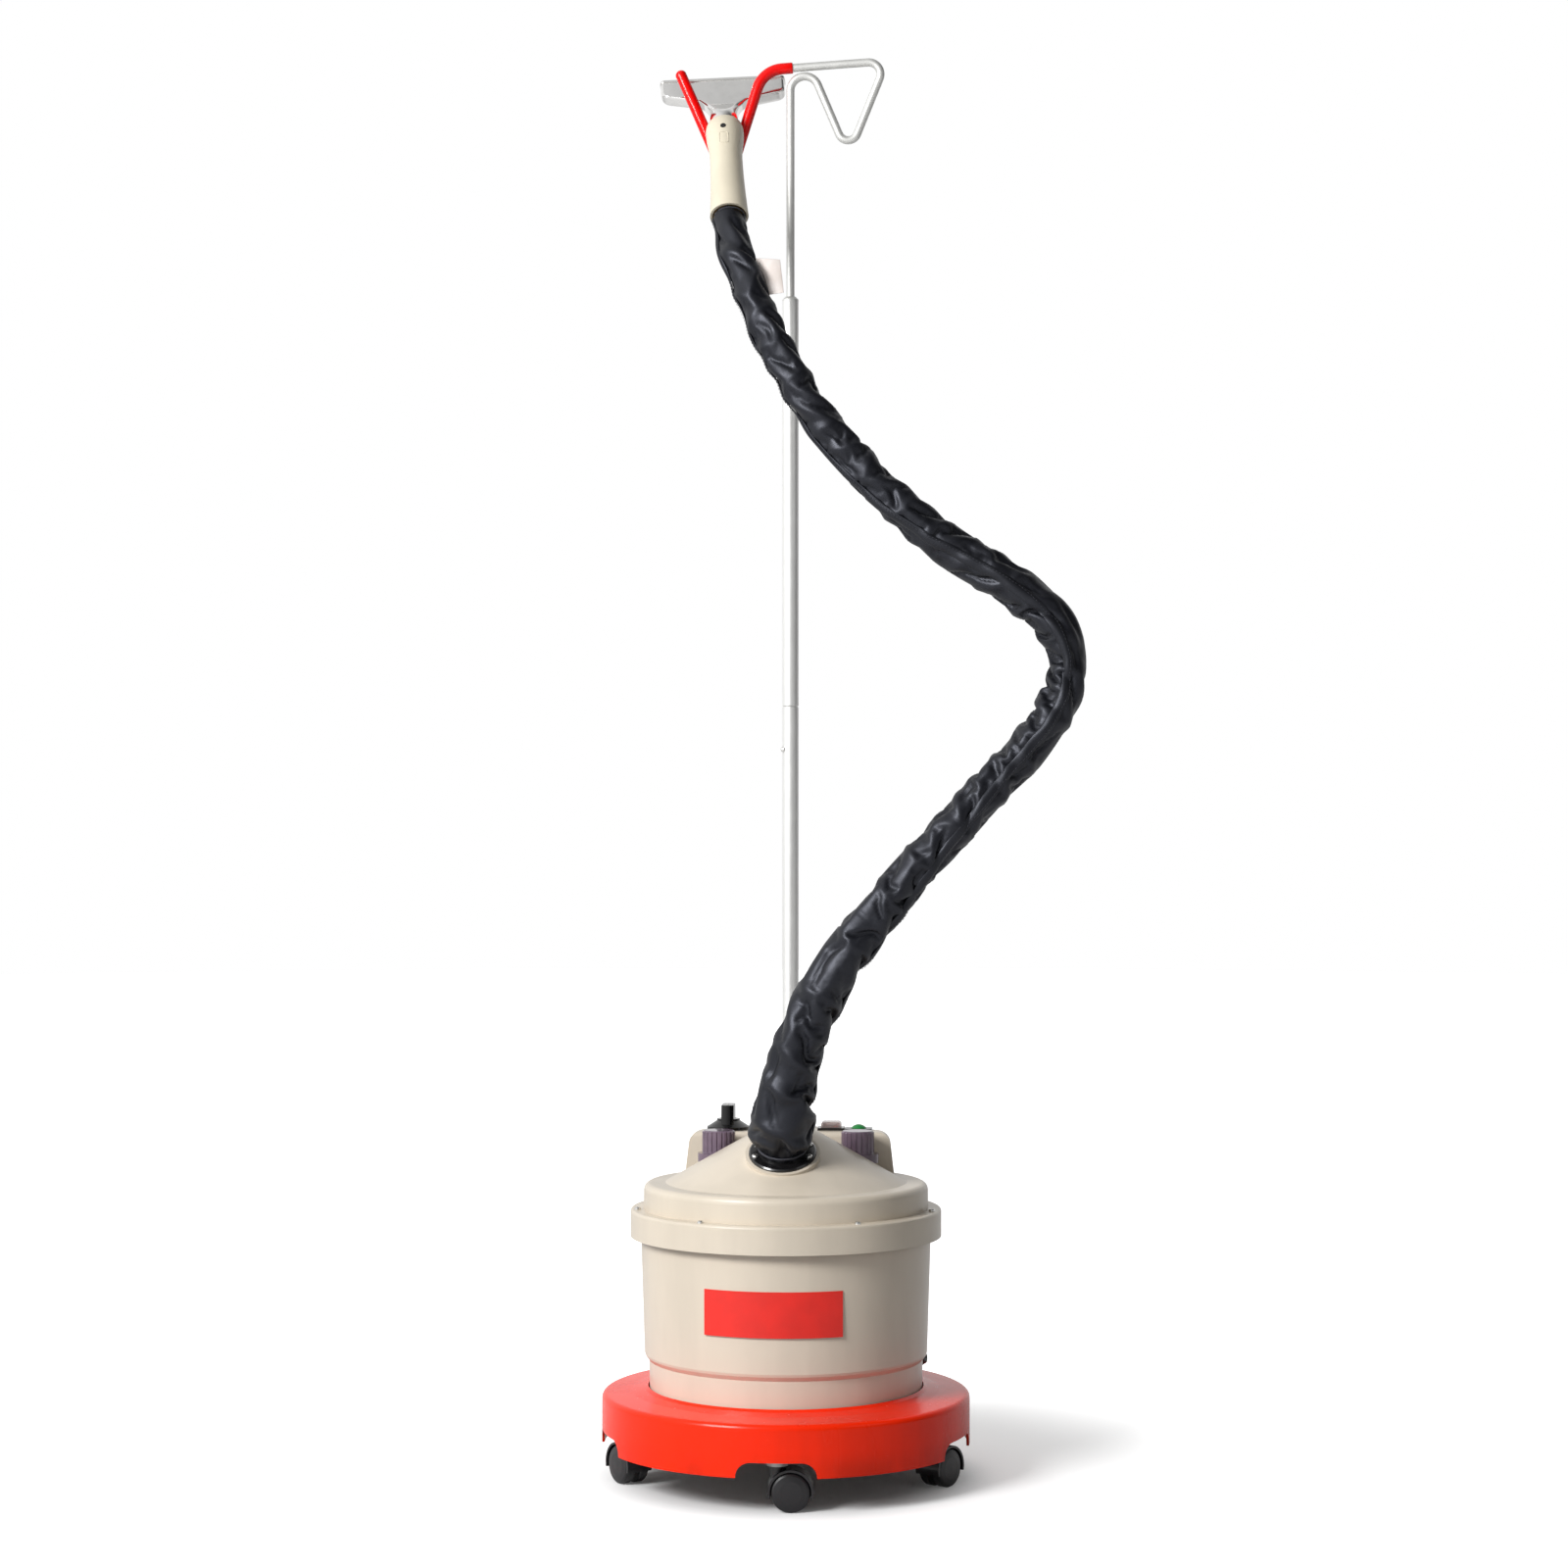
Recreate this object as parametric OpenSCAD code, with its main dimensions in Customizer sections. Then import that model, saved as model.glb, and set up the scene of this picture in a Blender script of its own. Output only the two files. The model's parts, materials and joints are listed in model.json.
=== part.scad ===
// Upright garment steamer: a boiler bucket on a five-castor dolly, a lid with a hose outlet,
// two screw caps and a control box, a two-piece pole with a bent-wire hook, and a handset
// that hangs in the hook's cradle. Millimetres, +Z up, front towards -Y.
// The origin is on the floor under the centre of the dolly.

/* [Dolly] */
// How far the dolly cover reaches out past the bucket's foot
cover_reach = 54.5; // [50:0.5:68]
// Height of the skirt's lower edge above the floor
skirt_z = 40.5; // [38:0.5:44]
// Height of the dolly cover, from the skirt's edge to its shoulder
cover_h = 57.5; // [52:0.5:62]
// Wall of the dolly cover
cover_wall = 3; // [2:0.1:3.5]
// Radius of the soft edge round the cover's shoulder
cover_edge_r = 6; // [4:0.5:9]
// Width of a castor notch at the skirt's edge
notch_w = 88; // [86:1:96]
// Height of a castor notch
notch_h = 17; // [14:0.5:20]
// Distance of each castor's pivot inside the cover's edge
castor_inset = 33; // [30:0.5:36]
// Thickness of the chassis plate
chassis_t = 4; // [3:0.5:6]

/* [Castors] */
// Diameter of the castor wheels
wheel_d = 43; // [38:0.5:45]
// Width of each wheel
wheel_w = 13; // [10:0.5:15]
// Horizontal offset from the pivot to the axle
trail = 14; // [11:0.5:16]
// Diameter of the axle
axle_d = 6; // [5:0.5:8]
// Diameter of the swivel stem
stem_d = 8; // [7:0.5:11]
// Wall of the hood over the wheels
hood_wall = 2.5; // [2:0.1:3]

/* [Bucket] */
// Outer radius of the bucket under its flange
bucket_top_r = 164.7; // [155:0.1:175]
// How much narrower the bucket is just above its step
bucket_taper = 4.7; // [3:0.1:7]
// How far the bucket's foot steps in
bucket_step_w = 6.5; // [4:0.5:9]
// Height of the bucket
bucket_h = 238; // [225:1:260]
// Height of the step above the bucket's foot
bucket_step_h = 73; // [65:1:90]
// Wall of the bucket
bucket_wall = 3; // [2.5:0.1:4]
// Thickness of the lid gasket
gasket_t = 2; // [1:0.5:3]

/* [Lid] */
// How far the lid's collar stands out past the bucket
collar_reach = 11.3; // [10.3:0.1:16]
// Height of the lid's collar
collar_h = 31; // [24:0.5:36]
// Width of the ledge round the lid
lid_ledge_w = 15; // [13:0.5:18]
// Height of the deck above the collar's ledge
lid_rise = 29; // [24:0.5:36]
// Radius of the edge round the deck
deck_edge_r = 8; // [5:0.5:10]
// Height of the half cone's peak above the deck
cone_h = 77; // [68:0.5:84]
// Slope of the half cone, in degrees
cone_slope = 29.4; // [27:0.1:32]
// Wall of the lid
lid_wall = 3; // [2.5:0.1:3.5]

/* [Hose outlet] */
// Distance of the outlet's centre from the lid's axis
outlet_reach = 69; // [62:0.5:74]
// Radius of the black outlet ring
outlet_ring_r = 37.5; // [35:0.5:39]
// Outer radius of the steam hose
hose_r = 11; // [10:0.5:12.5]
// Outer radius of the sleeve where it is gathered above the outlet
sleeve_r_low = 34; // [30:0.5:36]
// Outer radius of the sleeve at the middle of its length
sleeve_r_mid = 23; // [21:0.5:25]
// Outer radius of the sleeve at the handle
sleeve_r_high = 18; // [16.5:0.5:18.5]

/* [Control box] */
// Width of the control box at the deck
box_w = 242; // [238:1:250]
// Height of the control box
box_h = 48; // [42:0.5:54]
// Distance of the box's front face behind the lid's axis
box_front = 75; // [74:0.5:80]
// Distance of the box's rounded back inside the lid's wall
box_back_gap = 9; // [8:0.5:11]
// Wall of the control box
box_wall = 3; // [2:0.1:3.5]
// Diameter of the dial's skirt
dial_d = 50; // [40:0.5:52]
// Height of the dial's skirt
dial_skirt_h = 12; // [9:0.5:14]
// Height of the dial's grip above the skirt
dial_grip_h = 16.5; // [12:0.5:20]
// Diameter of the dial's spindle
spindle_d = 6; // [5:0.5:8]

/* [Caps] */
// Distance of each cap to the side of the lid's axis
cap_x = 80; // [78:0.5:84]
// Diameter of the cap's grip
cap_d = 38; // [34:0.5:40]
// Height of the cap above the deck
cap_h = 53; // [46:0.5:58]
// Diameter of the cap's toothed flange
cap_flange_d = 51; // [48:0.5:53]
// Number of flutes round the cap's grip
flutes = 20; // [16:1:24]

/* [Pole] */
// Distance of the pole behind the lid's axis
pole_y = 100; // [98:1:104]
// Diameter of the pole's tubes
tube_d = 19; // [18:0.5:21]
// Wall of the pole's tubes
tube_wall = 1.2; // [1:0.1:1.5]
// Height of the joint between the two tubes above the floor
joint_z = 876; // [850:1:900]
// Height of the upper tube's end above the floor
tube_top_z = 1349; // [1300:1:1360]
// Diameter of the hook's rod
rod_d = 9.5; // [8.5:0.1:10.5]
// Diameter of the red cradle sleeve
cradle_d = 13; // [12.4:0.1:13.4]

/* [Handset] */
// Length of the handle
handle_l = 142; // [140:0.5:146]
// Diameter of the handle at its mouth and below its dome
handle_d = 44; // [42:0.5:46]
// Diameter of the handle's waist
handle_waist_d = 37.5; // [35:0.5:40]
// Wall of the handle
handle_wall = 2.5; // [2:0.1:3]
// Lean of the handset away from the upright, head to the back, in degrees
handset_tilt = 32; // [31:0.5:33]
// Width of the steam head
head_w = 148; // [136:1:152]
// Distance from the handle's rim to the steam head's end
head_l = 76; // [74:0.5:80]
// Thickness of the steam head where it is widest
head_t = 15; // [13:0.5:18]
// Radius of the steam head's neck
neck_r = 16.5; // [15.5:0.5:17]

/* [Hidden] */
$fn = 96;

// Clearances
run_fit = 0.05;        // radial, a pin or a stem that turns in its bore
part_gap = 0.3;        // between pieces that move past each other
screw_gap = 0.15;      // radial, round a screw's shank
eps = 0.01;            // overlap of a cut past the face that it opens

// Colours
cover_red = [0.93, 0.16, 0.02];
case_beige = [0.83, 0.77, 0.70];
soft_black = [0.10, 0.10, 0.11];
bright_steel = [0.80, 0.80, 0.80];
brass = [0.78, 0.63, 0.30];
cap_purple = [0.35, 0.28, 0.42, 0.7];

// Radii that follow from the sizes above
bucket_step_r = bucket_top_r - bucket_taper;
bucket_foot_r = bucket_step_r - bucket_step_w;
cover_r = bucket_foot_r + cover_reach;
castor_ring_r = cover_r - castor_inset;
collar_r = bucket_top_r + collar_reach;
lid_wall_r = collar_r - lid_ledge_w;
box_back_r = lid_wall_r - box_back_gap;

// Heights that follow from the sizes above
chassis_z = skirt_z + cover_h - 40;
foot_z = chassis_z + chassis_t;
bucket_top_z = foot_z + bucket_h;
lid_seat_z = bucket_top_z + gasket_t;
ledge_z = lid_seat_z + lid_wall;
deck_z = ledge_z + lid_rise;
peak_z = deck_z + cone_h;
cone_r = cone_h / tan(cone_slope);
box_top_z = deck_z + box_h;

function unit(v) = v / norm(v);
function arc(c, r, a0, a1, steps) =
    [for (i = [0:steps]) let (a = a0 + (a1 - a0) * i / steps) c + r * [cos(a), sin(a)]];

// ---------------------------------------------------------------- shared shapes

// Pan-head screw, head upwards, its seat at z = 0
m4 = 4;
screw_head_d = 7.5;
screw_head_h = 2.6;
module pan_screw(length) {
    difference() {
        union() {
            translate([0, 0, -length]) cylinder(h = length + 1, d = m4);
            cylinder(h = screw_head_h * 0.5, d = screw_head_d);
            translate([0, 0, screw_head_h * 0.5])
                cylinder(h = screw_head_h * 0.5, d1 = screw_head_d, d2 = 5);
        }
        for (turn = [0, 90]) rotate([0, 0, turn])
            translate([-2.2, -0.4, screw_head_h - 1.3]) cube([4.4, 0.8, 2]);
    }
}

// Rings of points swept along a path, kept untwisted from one ring to the next
function path_tangents(p) = [for (i = [0:len(p) - 1])
    i == 0 ? unit(p[1] - p[0])
    : i == len(p) - 1 ? unit(p[i] - p[i - 1])
    : unit(unit(p[i] - p[i - 1]) + unit(p[i + 1] - p[i]))];
function across(t) = unit(cross(t, abs(t.z) < 0.9 ? [0, 0, 1] : [0, 1, 0]));
function side_vectors(t) = [for (i = 0, u = across(t[0]); i < len(t);
    i = i + 1, u = i < len(t) ? unit(u - (u * t[i]) * t[i]) : u) u];
function swept_rings(p, radii, sides) = let (t = path_tangents(p), u = side_vectors(t))
    [for (i = [0:len(p) - 1]) let (w = cross(t[i], u[i]))
        [for (k = [0:sides - 1]) let (a = 360 * (k + 0.5) / sides)
            p[i] + radii[i] * (cos(a) * u[i] + sin(a) * w)]];
function flat(lists) = [for (l = lists) each l];
function reversed(l) = [for (i = [len(l) - 1:-1:0]) l[i]];
function band(i, j, n) = [for (k = [0:n - 1]) let (m = (k + 1) % n)
    each [[i * n + k, j * n + k, i * n + m], [i * n + m, j * n + k, j * n + m]]];
// Closed solid through a list of rings, with flat ends
module skin(rings) {
    n = len(rings[0]);
    last = len(rings) - 1;
    walls = [for (i = [0:last - 1]) each band(i, i + 1, n)];
    start_cap = [for (k = [1:n - 2]) [0, k, k + 1]];
    end_cap = [for (k = [1:n - 2]) [last * n, last * n + k + 1, last * n + k]];
    polyhedron(points = flat(rings), faces = concat(walls, start_cap, end_cap));
}
// Open-ended tube through an outer and an inner list of rings
module tube_skin(outer, inner) {
    n = len(outer[0]);
    rings = concat(outer, reversed(inner));
    count = len(rings);
    polyhedron(points = flat(rings),
        faces = [for (i = [0:count - 1]) each band(i, (i + 1) % count, n)]);
}

// ---------------------------------------------------------------- dolly

castor_count = 5;
castor_step = 360 / castor_count;
post_r = castor_ring_r + 1;
post_d = 10;
boss_d = 24;
socket_d = 13;
cover_hole_r = bucket_foot_r + 2.5;
crease_r = castor_ring_r - 1;
shoulder_z = skirt_z + cover_h;
crease_rise = 2;
rim_rise = 7;
cover_inner_z = shoulder_z - cover_wall;

function castor_angle(i) = -90 + castor_step * i;
// Direction in which each castor trails, seen from above
castor_trail_angle = [3, 55, 160, 20, 126];

module at_castors() {
    for (i = [0:castor_count - 1]) rotate([0, 0, castor_angle(i)])
        translate([castor_ring_r, 0, 0]) children();
}
module at_posts(r) {
    for (i = [0:castor_count - 1]) rotate([0, 0, castor_angle(i) + castor_step / 2])
        translate([r, 0, 0]) children();
}

function cover_line(w) = concat(
    [[cover_r - w, skirt_z]],
    arc([cover_r - cover_edge_r, shoulder_z - cover_edge_r], cover_edge_r - w, 0, 90, 5),
    [[crease_r, shoulder_z + crease_rise - w],
     [cover_hole_r + 4, shoulder_z + rim_rise - 2.5 - w],
     [cover_hole_r, shoulder_z + rim_rise - w]]);

notch_corner_r = notch_h - 0.5;
module notch_outline() {
    half = notch_w / 2;
    polygon(concat([[half, -1], [half, 0]],
        arc([half - notch_corner_r, notch_h - notch_corner_r], notch_corner_r, 0, 90, 6),
        arc([-half + notch_corner_r, notch_h - notch_corner_r], notch_corner_r, 90, 180, 6),
        [[-half, 0], [-half, -1]]));
}

module base_cover() {
    post_h = cover_inner_z - foot_z + crease_rise;
    color(cover_red) difference() {
        union() {
            rotate_extrude() polygon(concat(cover_line(0), reversed(cover_line(cover_wall))));
            at_posts(post_r) translate([0, 0, foot_z]) cylinder(h = post_h, d = post_d);
        }
        for (i = [0:castor_count - 1]) rotate([0, 0, castor_angle(i)])
            translate([castor_ring_r + 8, 0, skirt_z]) rotate([90, 0, 90])
                linear_extrude(cover_r - castor_ring_r) notch_outline();
        at_posts(post_r) translate([0, 0, foot_z - eps]) cylinder(h = 14, d = m4 + 2 * run_fit);
    }
}

boss_top_z = cover_inner_z - 0.3;
stem_collar_z = wheel_d / 2 + wheel_d / 2 + 6;
boss_z = stem_collar_z + part_gap;
socket_top_z = boss_top_z - 12;
bucket_screw_in = 33.5;
bucket_screw_r = bucket_foot_r - bucket_screw_in;
bucket_screws = 3;
chassis_r = cover_r - cover_wall - 8;
wire_hole_r = 25;
module at_bucket_screws() {
    for (i = [0:bucket_screws - 1]) rotate([0, 0, 30 + 360 / bucket_screws * i])
        translate([bucket_screw_r, 0, 0]) children();
}

module base_chassis() {
    color(soft_black) difference() {
        union() {
            translate([0, 0, chassis_z]) cylinder(h = chassis_t, r = chassis_r);
            at_castors() translate([0, 0, boss_z]) cylinder(h = boss_top_z - boss_z, d = boss_d);
        }
        at_castors() translate([0, 0, boss_z - 1])
            cylinder(h = socket_top_z - boss_z + 1, d = socket_d + 2 * run_fit);
        at_posts(post_r) translate([0, 0, chassis_z - 1])
            cylinder(h = chassis_t + 2, d = m4 + 2 * screw_gap);
        at_bucket_screws() translate([0, 0, chassis_z - 1])
            cylinder(h = chassis_t + 2, d = m4 + 2 * screw_gap);
        translate([0, 0, chassis_z - 1]) cylinder(h = chassis_t + 2, r = wire_hole_r);
    }
}

module castor_sockets() {
    color(bright_steel) at_castors() difference() {
        translate([0, 0, boss_z + 0.5])
            cylinder(h = socket_top_z - boss_z - 0.5, d = socket_d);
        translate([0, 0, boss_z]) cylinder(h = socket_top_z, d = stem_d + 2 * run_fit);
    }
}

base_screw_l = chassis_t + 9;
module base_screws() {
    color(bright_steel) {
        at_posts(post_r) translate([0, 0, chassis_z]) mirror([0, 0, 1]) pan_screw(base_screw_l);
        at_bucket_screws() translate([0, 0, chassis_z]) mirror([0, 0, 1])
            pan_screw(base_screw_l);
    }
}

// ---------------------------------------------------------------- castors

web_w = 6;
axle_z = wheel_d / 2;
well_r = wheel_d / 2 + 1;
hood_r = well_r + hood_wall;
hood_w = web_w + 2 * wheel_w - 1;
hood_skirt_z = axle_z - 5.5;
wheel_gap = 0.4;
stem_l = socket_top_z - stem_collar_z - 1;
stem_collar_d = 16;

module at_castor(i) {
    rotate([0, 0, castor_angle(i)]) translate([castor_ring_r, 0, 0])
        rotate([0, 0, castor_trail_angle[i] - castor_angle(i)]) children();
}
// Child is drawn with its axis on the axle, which runs along local Y
module on_axle() {
    translate([trail, 0, axle_z]) rotate([90, 0, 0]) children();
}

module castor_hood(i) {
    color(soft_black) at_castor(i) difference() {
        union() {
            intersection() {
                on_axle() translate([0, 0, -hood_w / 2]) cylinder(h = hood_w, r = hood_r);
                translate([-50, -50, hood_skirt_z]) cube([120, 100, 60]);
            }
            translate([0, 0, axle_z]) cylinder(h = stem_collar_z - axle_z, d = stem_collar_d);
            translate([0, 0, stem_collar_z - 2]) cylinder(h = stem_l + 2, d = stem_d);
        }
        on_axle() for (side = [-1, 1])
            translate([0, 0, side > 0 ? web_w / 2 : -web_w / 2 - 30]) cylinder(h = 30, r = well_r);
        on_axle() translate([0, 0, -20]) cylinder(h = 40, d = axle_d + 2 * run_fit);
    }
}

wheel_face_dome = 2;
module wheel() {
    r = wheel_d / 2;
    difference() {
        rotate_extrude() polygon([[0, 0], [r - 0.8, 0], [r, 0.8], [r, wheel_w - 4.5],
            [r - 1, wheel_w - 2.5], [r - 3, wheel_w - 1.5], [r - 9, wheel_w - 0.5],
            [0, wheel_w]]);
        translate([0, 0, -1]) cylinder(h = wheel_w - 2, d = axle_d + run_fit);
    }
}
module castor_wheels(i) {
    half_axle = web_w / 2 + wheel_gap + wheel_w - 4;
    color(soft_black) at_castor(i) on_axle() {
        for (side = [0, 1]) mirror([0, 0, side]) translate([0, 0, web_w / 2 + wheel_gap]) wheel();
        translate([0, 0, -half_axle]) cylinder(h = 2 * half_axle, d = axle_d);
    }
}

// ---------------------------------------------------------------- bucket

step_z = foot_z + bucket_step_h;
flange_t = 4;
flange_r = collar_r - lid_wall - 0.6;
collar_screw_r = (flange_r + bucket_top_r) / 2;
collar_screw_l = lid_wall + gasket_t + flange_t + 2;

function bucket_line(w) = [
    [bucket_foot_r - 5.5, foot_z + w],
    [bucket_foot_r - w * 0.6, foot_z + 5.5 + w * 0.4],
    [bucket_foot_r + 1.5 - w, step_z],
    [bucket_foot_r + 2.4 - w, step_z + 1 + w * 0.3],
    [bucket_step_r - 1 - w, step_z + 5 + w * 0.3],
    [bucket_step_r - w, step_z + 8 + w * 0.3],
    [bucket_top_r - w, bucket_top_z - flange_t]];

screw_boss_h = 12;
gland_z = foot_z + 61;
gland_angle = 25;
gland_bore = 8;
gland_r = 9;
gland_hole_r = 7;
gland_reach = 20;
module at_gland() {
    rotate([0, 0, gland_angle]) translate([bucket_foot_r, 0, gland_z]) rotate([0, 90, 0])
        children();
}

module bucket() {
    rim = [[flange_r, bucket_top_z - flange_t], [flange_r, bucket_top_z],
        [bucket_top_r - bucket_wall, bucket_top_z]];
    inner = reversed(bucket_line(bucket_wall));
    color(case_beige) difference() {
        union() {
            rotate_extrude() polygon(concat([[0, foot_z]], bucket_line(0), rim, inner,
                [[0, foot_z + bucket_wall]]));
            at_bucket_screws() translate([0, 0, foot_z]) cylinder(h = screw_boss_h, d = 12);
        }
        at_bucket_screws() translate([0, 0, foot_z - 1])
            cylinder(h = screw_boss_h - 1, d = m4 + 2 * run_fit);
        at_collar_screws() translate([0, 0, bucket_top_z - 10])
            cylinder(h = 12, d = m4 + 2 * run_fit);
        translate([0, 0, foot_z - 1]) cylinder(h = bucket_wall + 2, r = flange_hole_r);
        at_gland() translate([0, 0, -12]) cylinder(h = 30, r = gland_hole_r);
    }
}

// Angles of the collar screws from the front, mirrored, and one at the back
collar_screw_angles = [30.5, 79, 129];
module at_collar_screws() {
    for (a = collar_screw_angles, side = [-1, 1]) rotate([0, 0, -90 + side * a])
        translate([collar_screw_r, 0, 0]) children();
    translate([0, collar_screw_r, 0]) children();
}

panel_w = 154;
panel_h = 50;
panel_t = 0.8;
panel_z = 208;
panel_angle = -92.4;
panel_gap = 0.1;
module name_panel() {
    half = panel_w / bucket_step_r / 2 * 180 / PI;
    r0 = bucket_step_r + (bucket_top_r - bucket_step_r)
        * (panel_z + panel_h / 2 - step_z) / (bucket_top_z - step_z) + panel_gap;
    color(cover_red) rotate([0, 0, panel_angle]) intersection() {
        translate([0, 0, panel_z - panel_h / 2]) rotate([0, 0, -half])
            rotate_extrude(angle = 2 * half) translate([r0, 0]) square([panel_t, panel_h]);
        translate([r0 - 40, 0, panel_z]) rotate([90, 0, 90])
            linear_extrude(60) rounded_box_outline(panel_w + 10, panel_h, 5);
    }
}
module rounded_box_outline(w, h, r) {
    polygon(flat([for (c = [0:3]) arc([(c == 0 || c == 3 ? 1 : -1) * (w / 2 - r),
        (c < 2 ? 1 : -1) * (h / 2 - r)], r, 90 * c, 90 * c + 90, 5)]));
}

module cord_gland() {
    color(soft_black) at_gland() difference() {
        union() {
            translate([0, 0, -bucket_wall - 6]) cylinder(h = 24, r = gland_hole_r - run_fit);
            translate([0, 0, -bucket_wall - 6]) cylinder(h = 4, r = gland_r + 1, $fn = 6);
            translate([0, 0, 3]) cylinder(h = gland_reach - 8, r = gland_r);
            translate([0, 0, gland_reach - 5]) cylinder(h = 5, r1 = gland_r, r2 = 6.5);
        }
        translate([0, 0, -12]) cylinder(h = 50, d = gland_bore);
    }
}

// ---------------------------------------------------------------- heater

heater_flange_r = 46;
flange_hole_r = 30;
element_d = 8.5;
element_leg_d = 10.5;
element_ring_r = 36;
element_rise = 26;
element_gap_angle = 24;
heater_seat_z = foot_z + bucket_wall;
heater_t = 5;
element_z = heater_seat_z + heater_t + element_rise;
probe_d = 10;
probe_h = 52;

module heater_flange() {
    color(brass) difference() {
        union() {
            translate([0, 0, heater_seat_z]) cylinder(h = heater_t, r = heater_flange_r);
            translate([0, 0, foot_z + part_gap])
                cylinder(h = bucket_wall + 1, r = flange_hole_r - screw_gap);
        }
        for (side = [-1, 1]) rotate([0, 0, side * element_gap_angle])
            translate([element_ring_r, 0, heater_seat_z + 1])
                cylinder(h = heater_t + 2, d = element_leg_d + 2 * run_fit);
        translate([0, 0, heater_seat_z + 1])
            cylinder(h = heater_t + 2, d = probe_d + 2 * run_fit);
    }
}

module heating_element() {
    color(bright_steel) {
        rotate([0, 0, element_gap_angle]) translate([0, 0, element_z])
            rotate_extrude(angle = 360 - 2 * element_gap_angle)
                translate([element_ring_r, 0]) circle(d = element_d);
        for (side = [-1, 1]) rotate([0, 0, side * element_gap_angle])
            translate([element_ring_r, 0, heater_seat_z + 1 + run_fit])
                cylinder(h = element_z + element_d / 2 + 0.6 - heater_seat_z - 1,
                    d = element_leg_d);
    }
}

module cutout_probe() {
    color(brass) {
        translate([0, 0, heater_seat_z + 1 + run_fit]) cylinder(h = probe_h, d = probe_d);
        translate([0, 0, heater_seat_z + 1 + probe_h]) cylinder(h = 3, d1 = probe_d, d2 = 4);
    }
}

level_x = -35;
level_y = 45;
level_rod_d = 5;
level_tip_z = foot_z + 60;
module level_probe() {
    color(brass) translate([level_x, level_y, 0]) {
        translate([0, 0, level_tip_z]) cylinder(h = deck_z - level_tip_z, d = level_rod_d);
        translate([0, 0, deck_z - lid_wall - 8]) cylinder(h = 8 - 0.05, d = 16, $fn = 6);
        translate([0, 0, deck_z - 4]) cylinder(h = 7, d = 10);
        translate([0, 0, deck_z + 0.05]) cylinder(h = 5, d = 15, $fn = 6);
    }
}

// ---------------------------------------------------------------- lid

collar_z = ledge_z - collar_h;
cone_back_y = 8;
boss_r = outlet_ring_r + 4;
boss_depth = 12;
lip_h = 2;
neck_bore_r = 14;
neck_body_r = 17;
cap_box_gap = 1.5;
cap_y = box_front - cap_flange_d / 2 - cap_box_gap;
cable_hole_d = 16;
cable_x = 20;
cable_y = 100;

// Frame of the hose outlet: origin on the cone's slope, +Z out along the hose
outlet_z = peak_z - outlet_reach * tan(cone_slope);
module at_outlet() {
    translate([0, -outlet_reach, outlet_z]) rotate([cone_slope, 0, 0]) children();
}

function lid_outline(w, below) = concat(
    [[0, collar_z - below], [collar_r - w, collar_z - below]],
    arc([collar_r - 3, ledge_z - 3 - w * 0.01], 3 - w * 0.99, 0, 90, 3),
    [[lid_wall_r - w, ledge_z - w]],
    arc([lid_wall_r - deck_edge_r, deck_z - deck_edge_r], deck_edge_r - w, 0, 90, 5),
    [[0, deck_z - w]]);
// Solid form of the lid, drawn in by w on every side
module lid_form(w, below = 0) {
    drop = w / cos(cone_slope);
    rotate_extrude() polygon(lid_outline(w, below));
    intersection() {
        translate([0, 0, deck_z - w - 1])
            cylinder(h = cone_h - drop + w + 1, r1 = (cone_h - drop + w + 1) / tan(cone_slope),
                r2 = 0);
        translate([-collar_r, -collar_r, deck_z - w - 2])
            cube([2 * collar_r, collar_r + cone_back_y - w, cone_h + 2 * w + 4]);
    }
}
module at_necks() {
    for (side = [-1, 1]) translate([side * cap_x, cap_y, 0]) children();
}

module lid() {
    color(case_beige) difference() {
        union() {
            difference() {
                union() {
                    lid_form(0);
                    at_outlet() translate([0, 0, -boss_depth]) cylinder(h = boss_depth, r = boss_r);
                    at_outlet() translate([0, 0, -eps]) cylinder(h = lip_h, r = boss_r);
                }
                difference() {
                    lid_form(lid_wall, 1);
                    at_outlet() translate([0, 0, -boss_depth])
                        cylinder(h = boss_depth, r = boss_r - lid_wall);
                }
                at_outlet() cylinder(h = 10, r = outlet_ring_r + 0.2);
            }
        }
        at_outlet() translate([0, 0, -40]) cylinder(h = 60, r = hose_r + 2 * run_fit);
        at_outlet_screws() translate([0, 0, -10]) cylinder(h = 12, d = m4 + 2 * run_fit);
        at_necks() translate([0, 0, deck_z - 10]) cylinder(h = 20, r = neck_body_r + screw_gap);
        at_collar_screws() translate([0, 0, ledge_z - 10])
            cylinder(h = 20, d = m4 + 2 * screw_gap);
        translate([level_x, level_y, deck_z - 10]) cylinder(h = 20, d = 10 + 2 * run_fit);
        translate([cable_x, cable_y, deck_z - 10]) cylinder(h = 20, d = cable_hole_d);
    }
}

module lid_gasket() {
    color(soft_black) difference() {
        translate([0, 0, bucket_top_z]) cylinder(h = gasket_t, r = flange_r);
        translate([0, 0, bucket_top_z - 1])
            cylinder(h = gasket_t + 2, r = bucket_top_r - bucket_wall + 0.5);
        at_collar_screws() translate([0, 0, bucket_top_z - 1])
            cylinder(h = gasket_t + 2, d = m4 + 2 * screw_gap);
    }
}

module collar_screws() {
    color(bright_steel) at_collar_screws() translate([0, 0, ledge_z]) pan_screw(collar_screw_l);
}

// ---------------------------------------------------------------- necks, seals and caps

neck_top_z = deck_z + 36;
neck_flange_r = 22;
seal_t = 2.5;
cap_wall = 2.5;
cap_top_z = deck_z + cap_h;
cap_skirt_z = deck_z + 17;
cap_flange_h = 10;
cap_teeth = 24;
cap_ceiling_z = neck_top_z + seal_t + 4;

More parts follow.
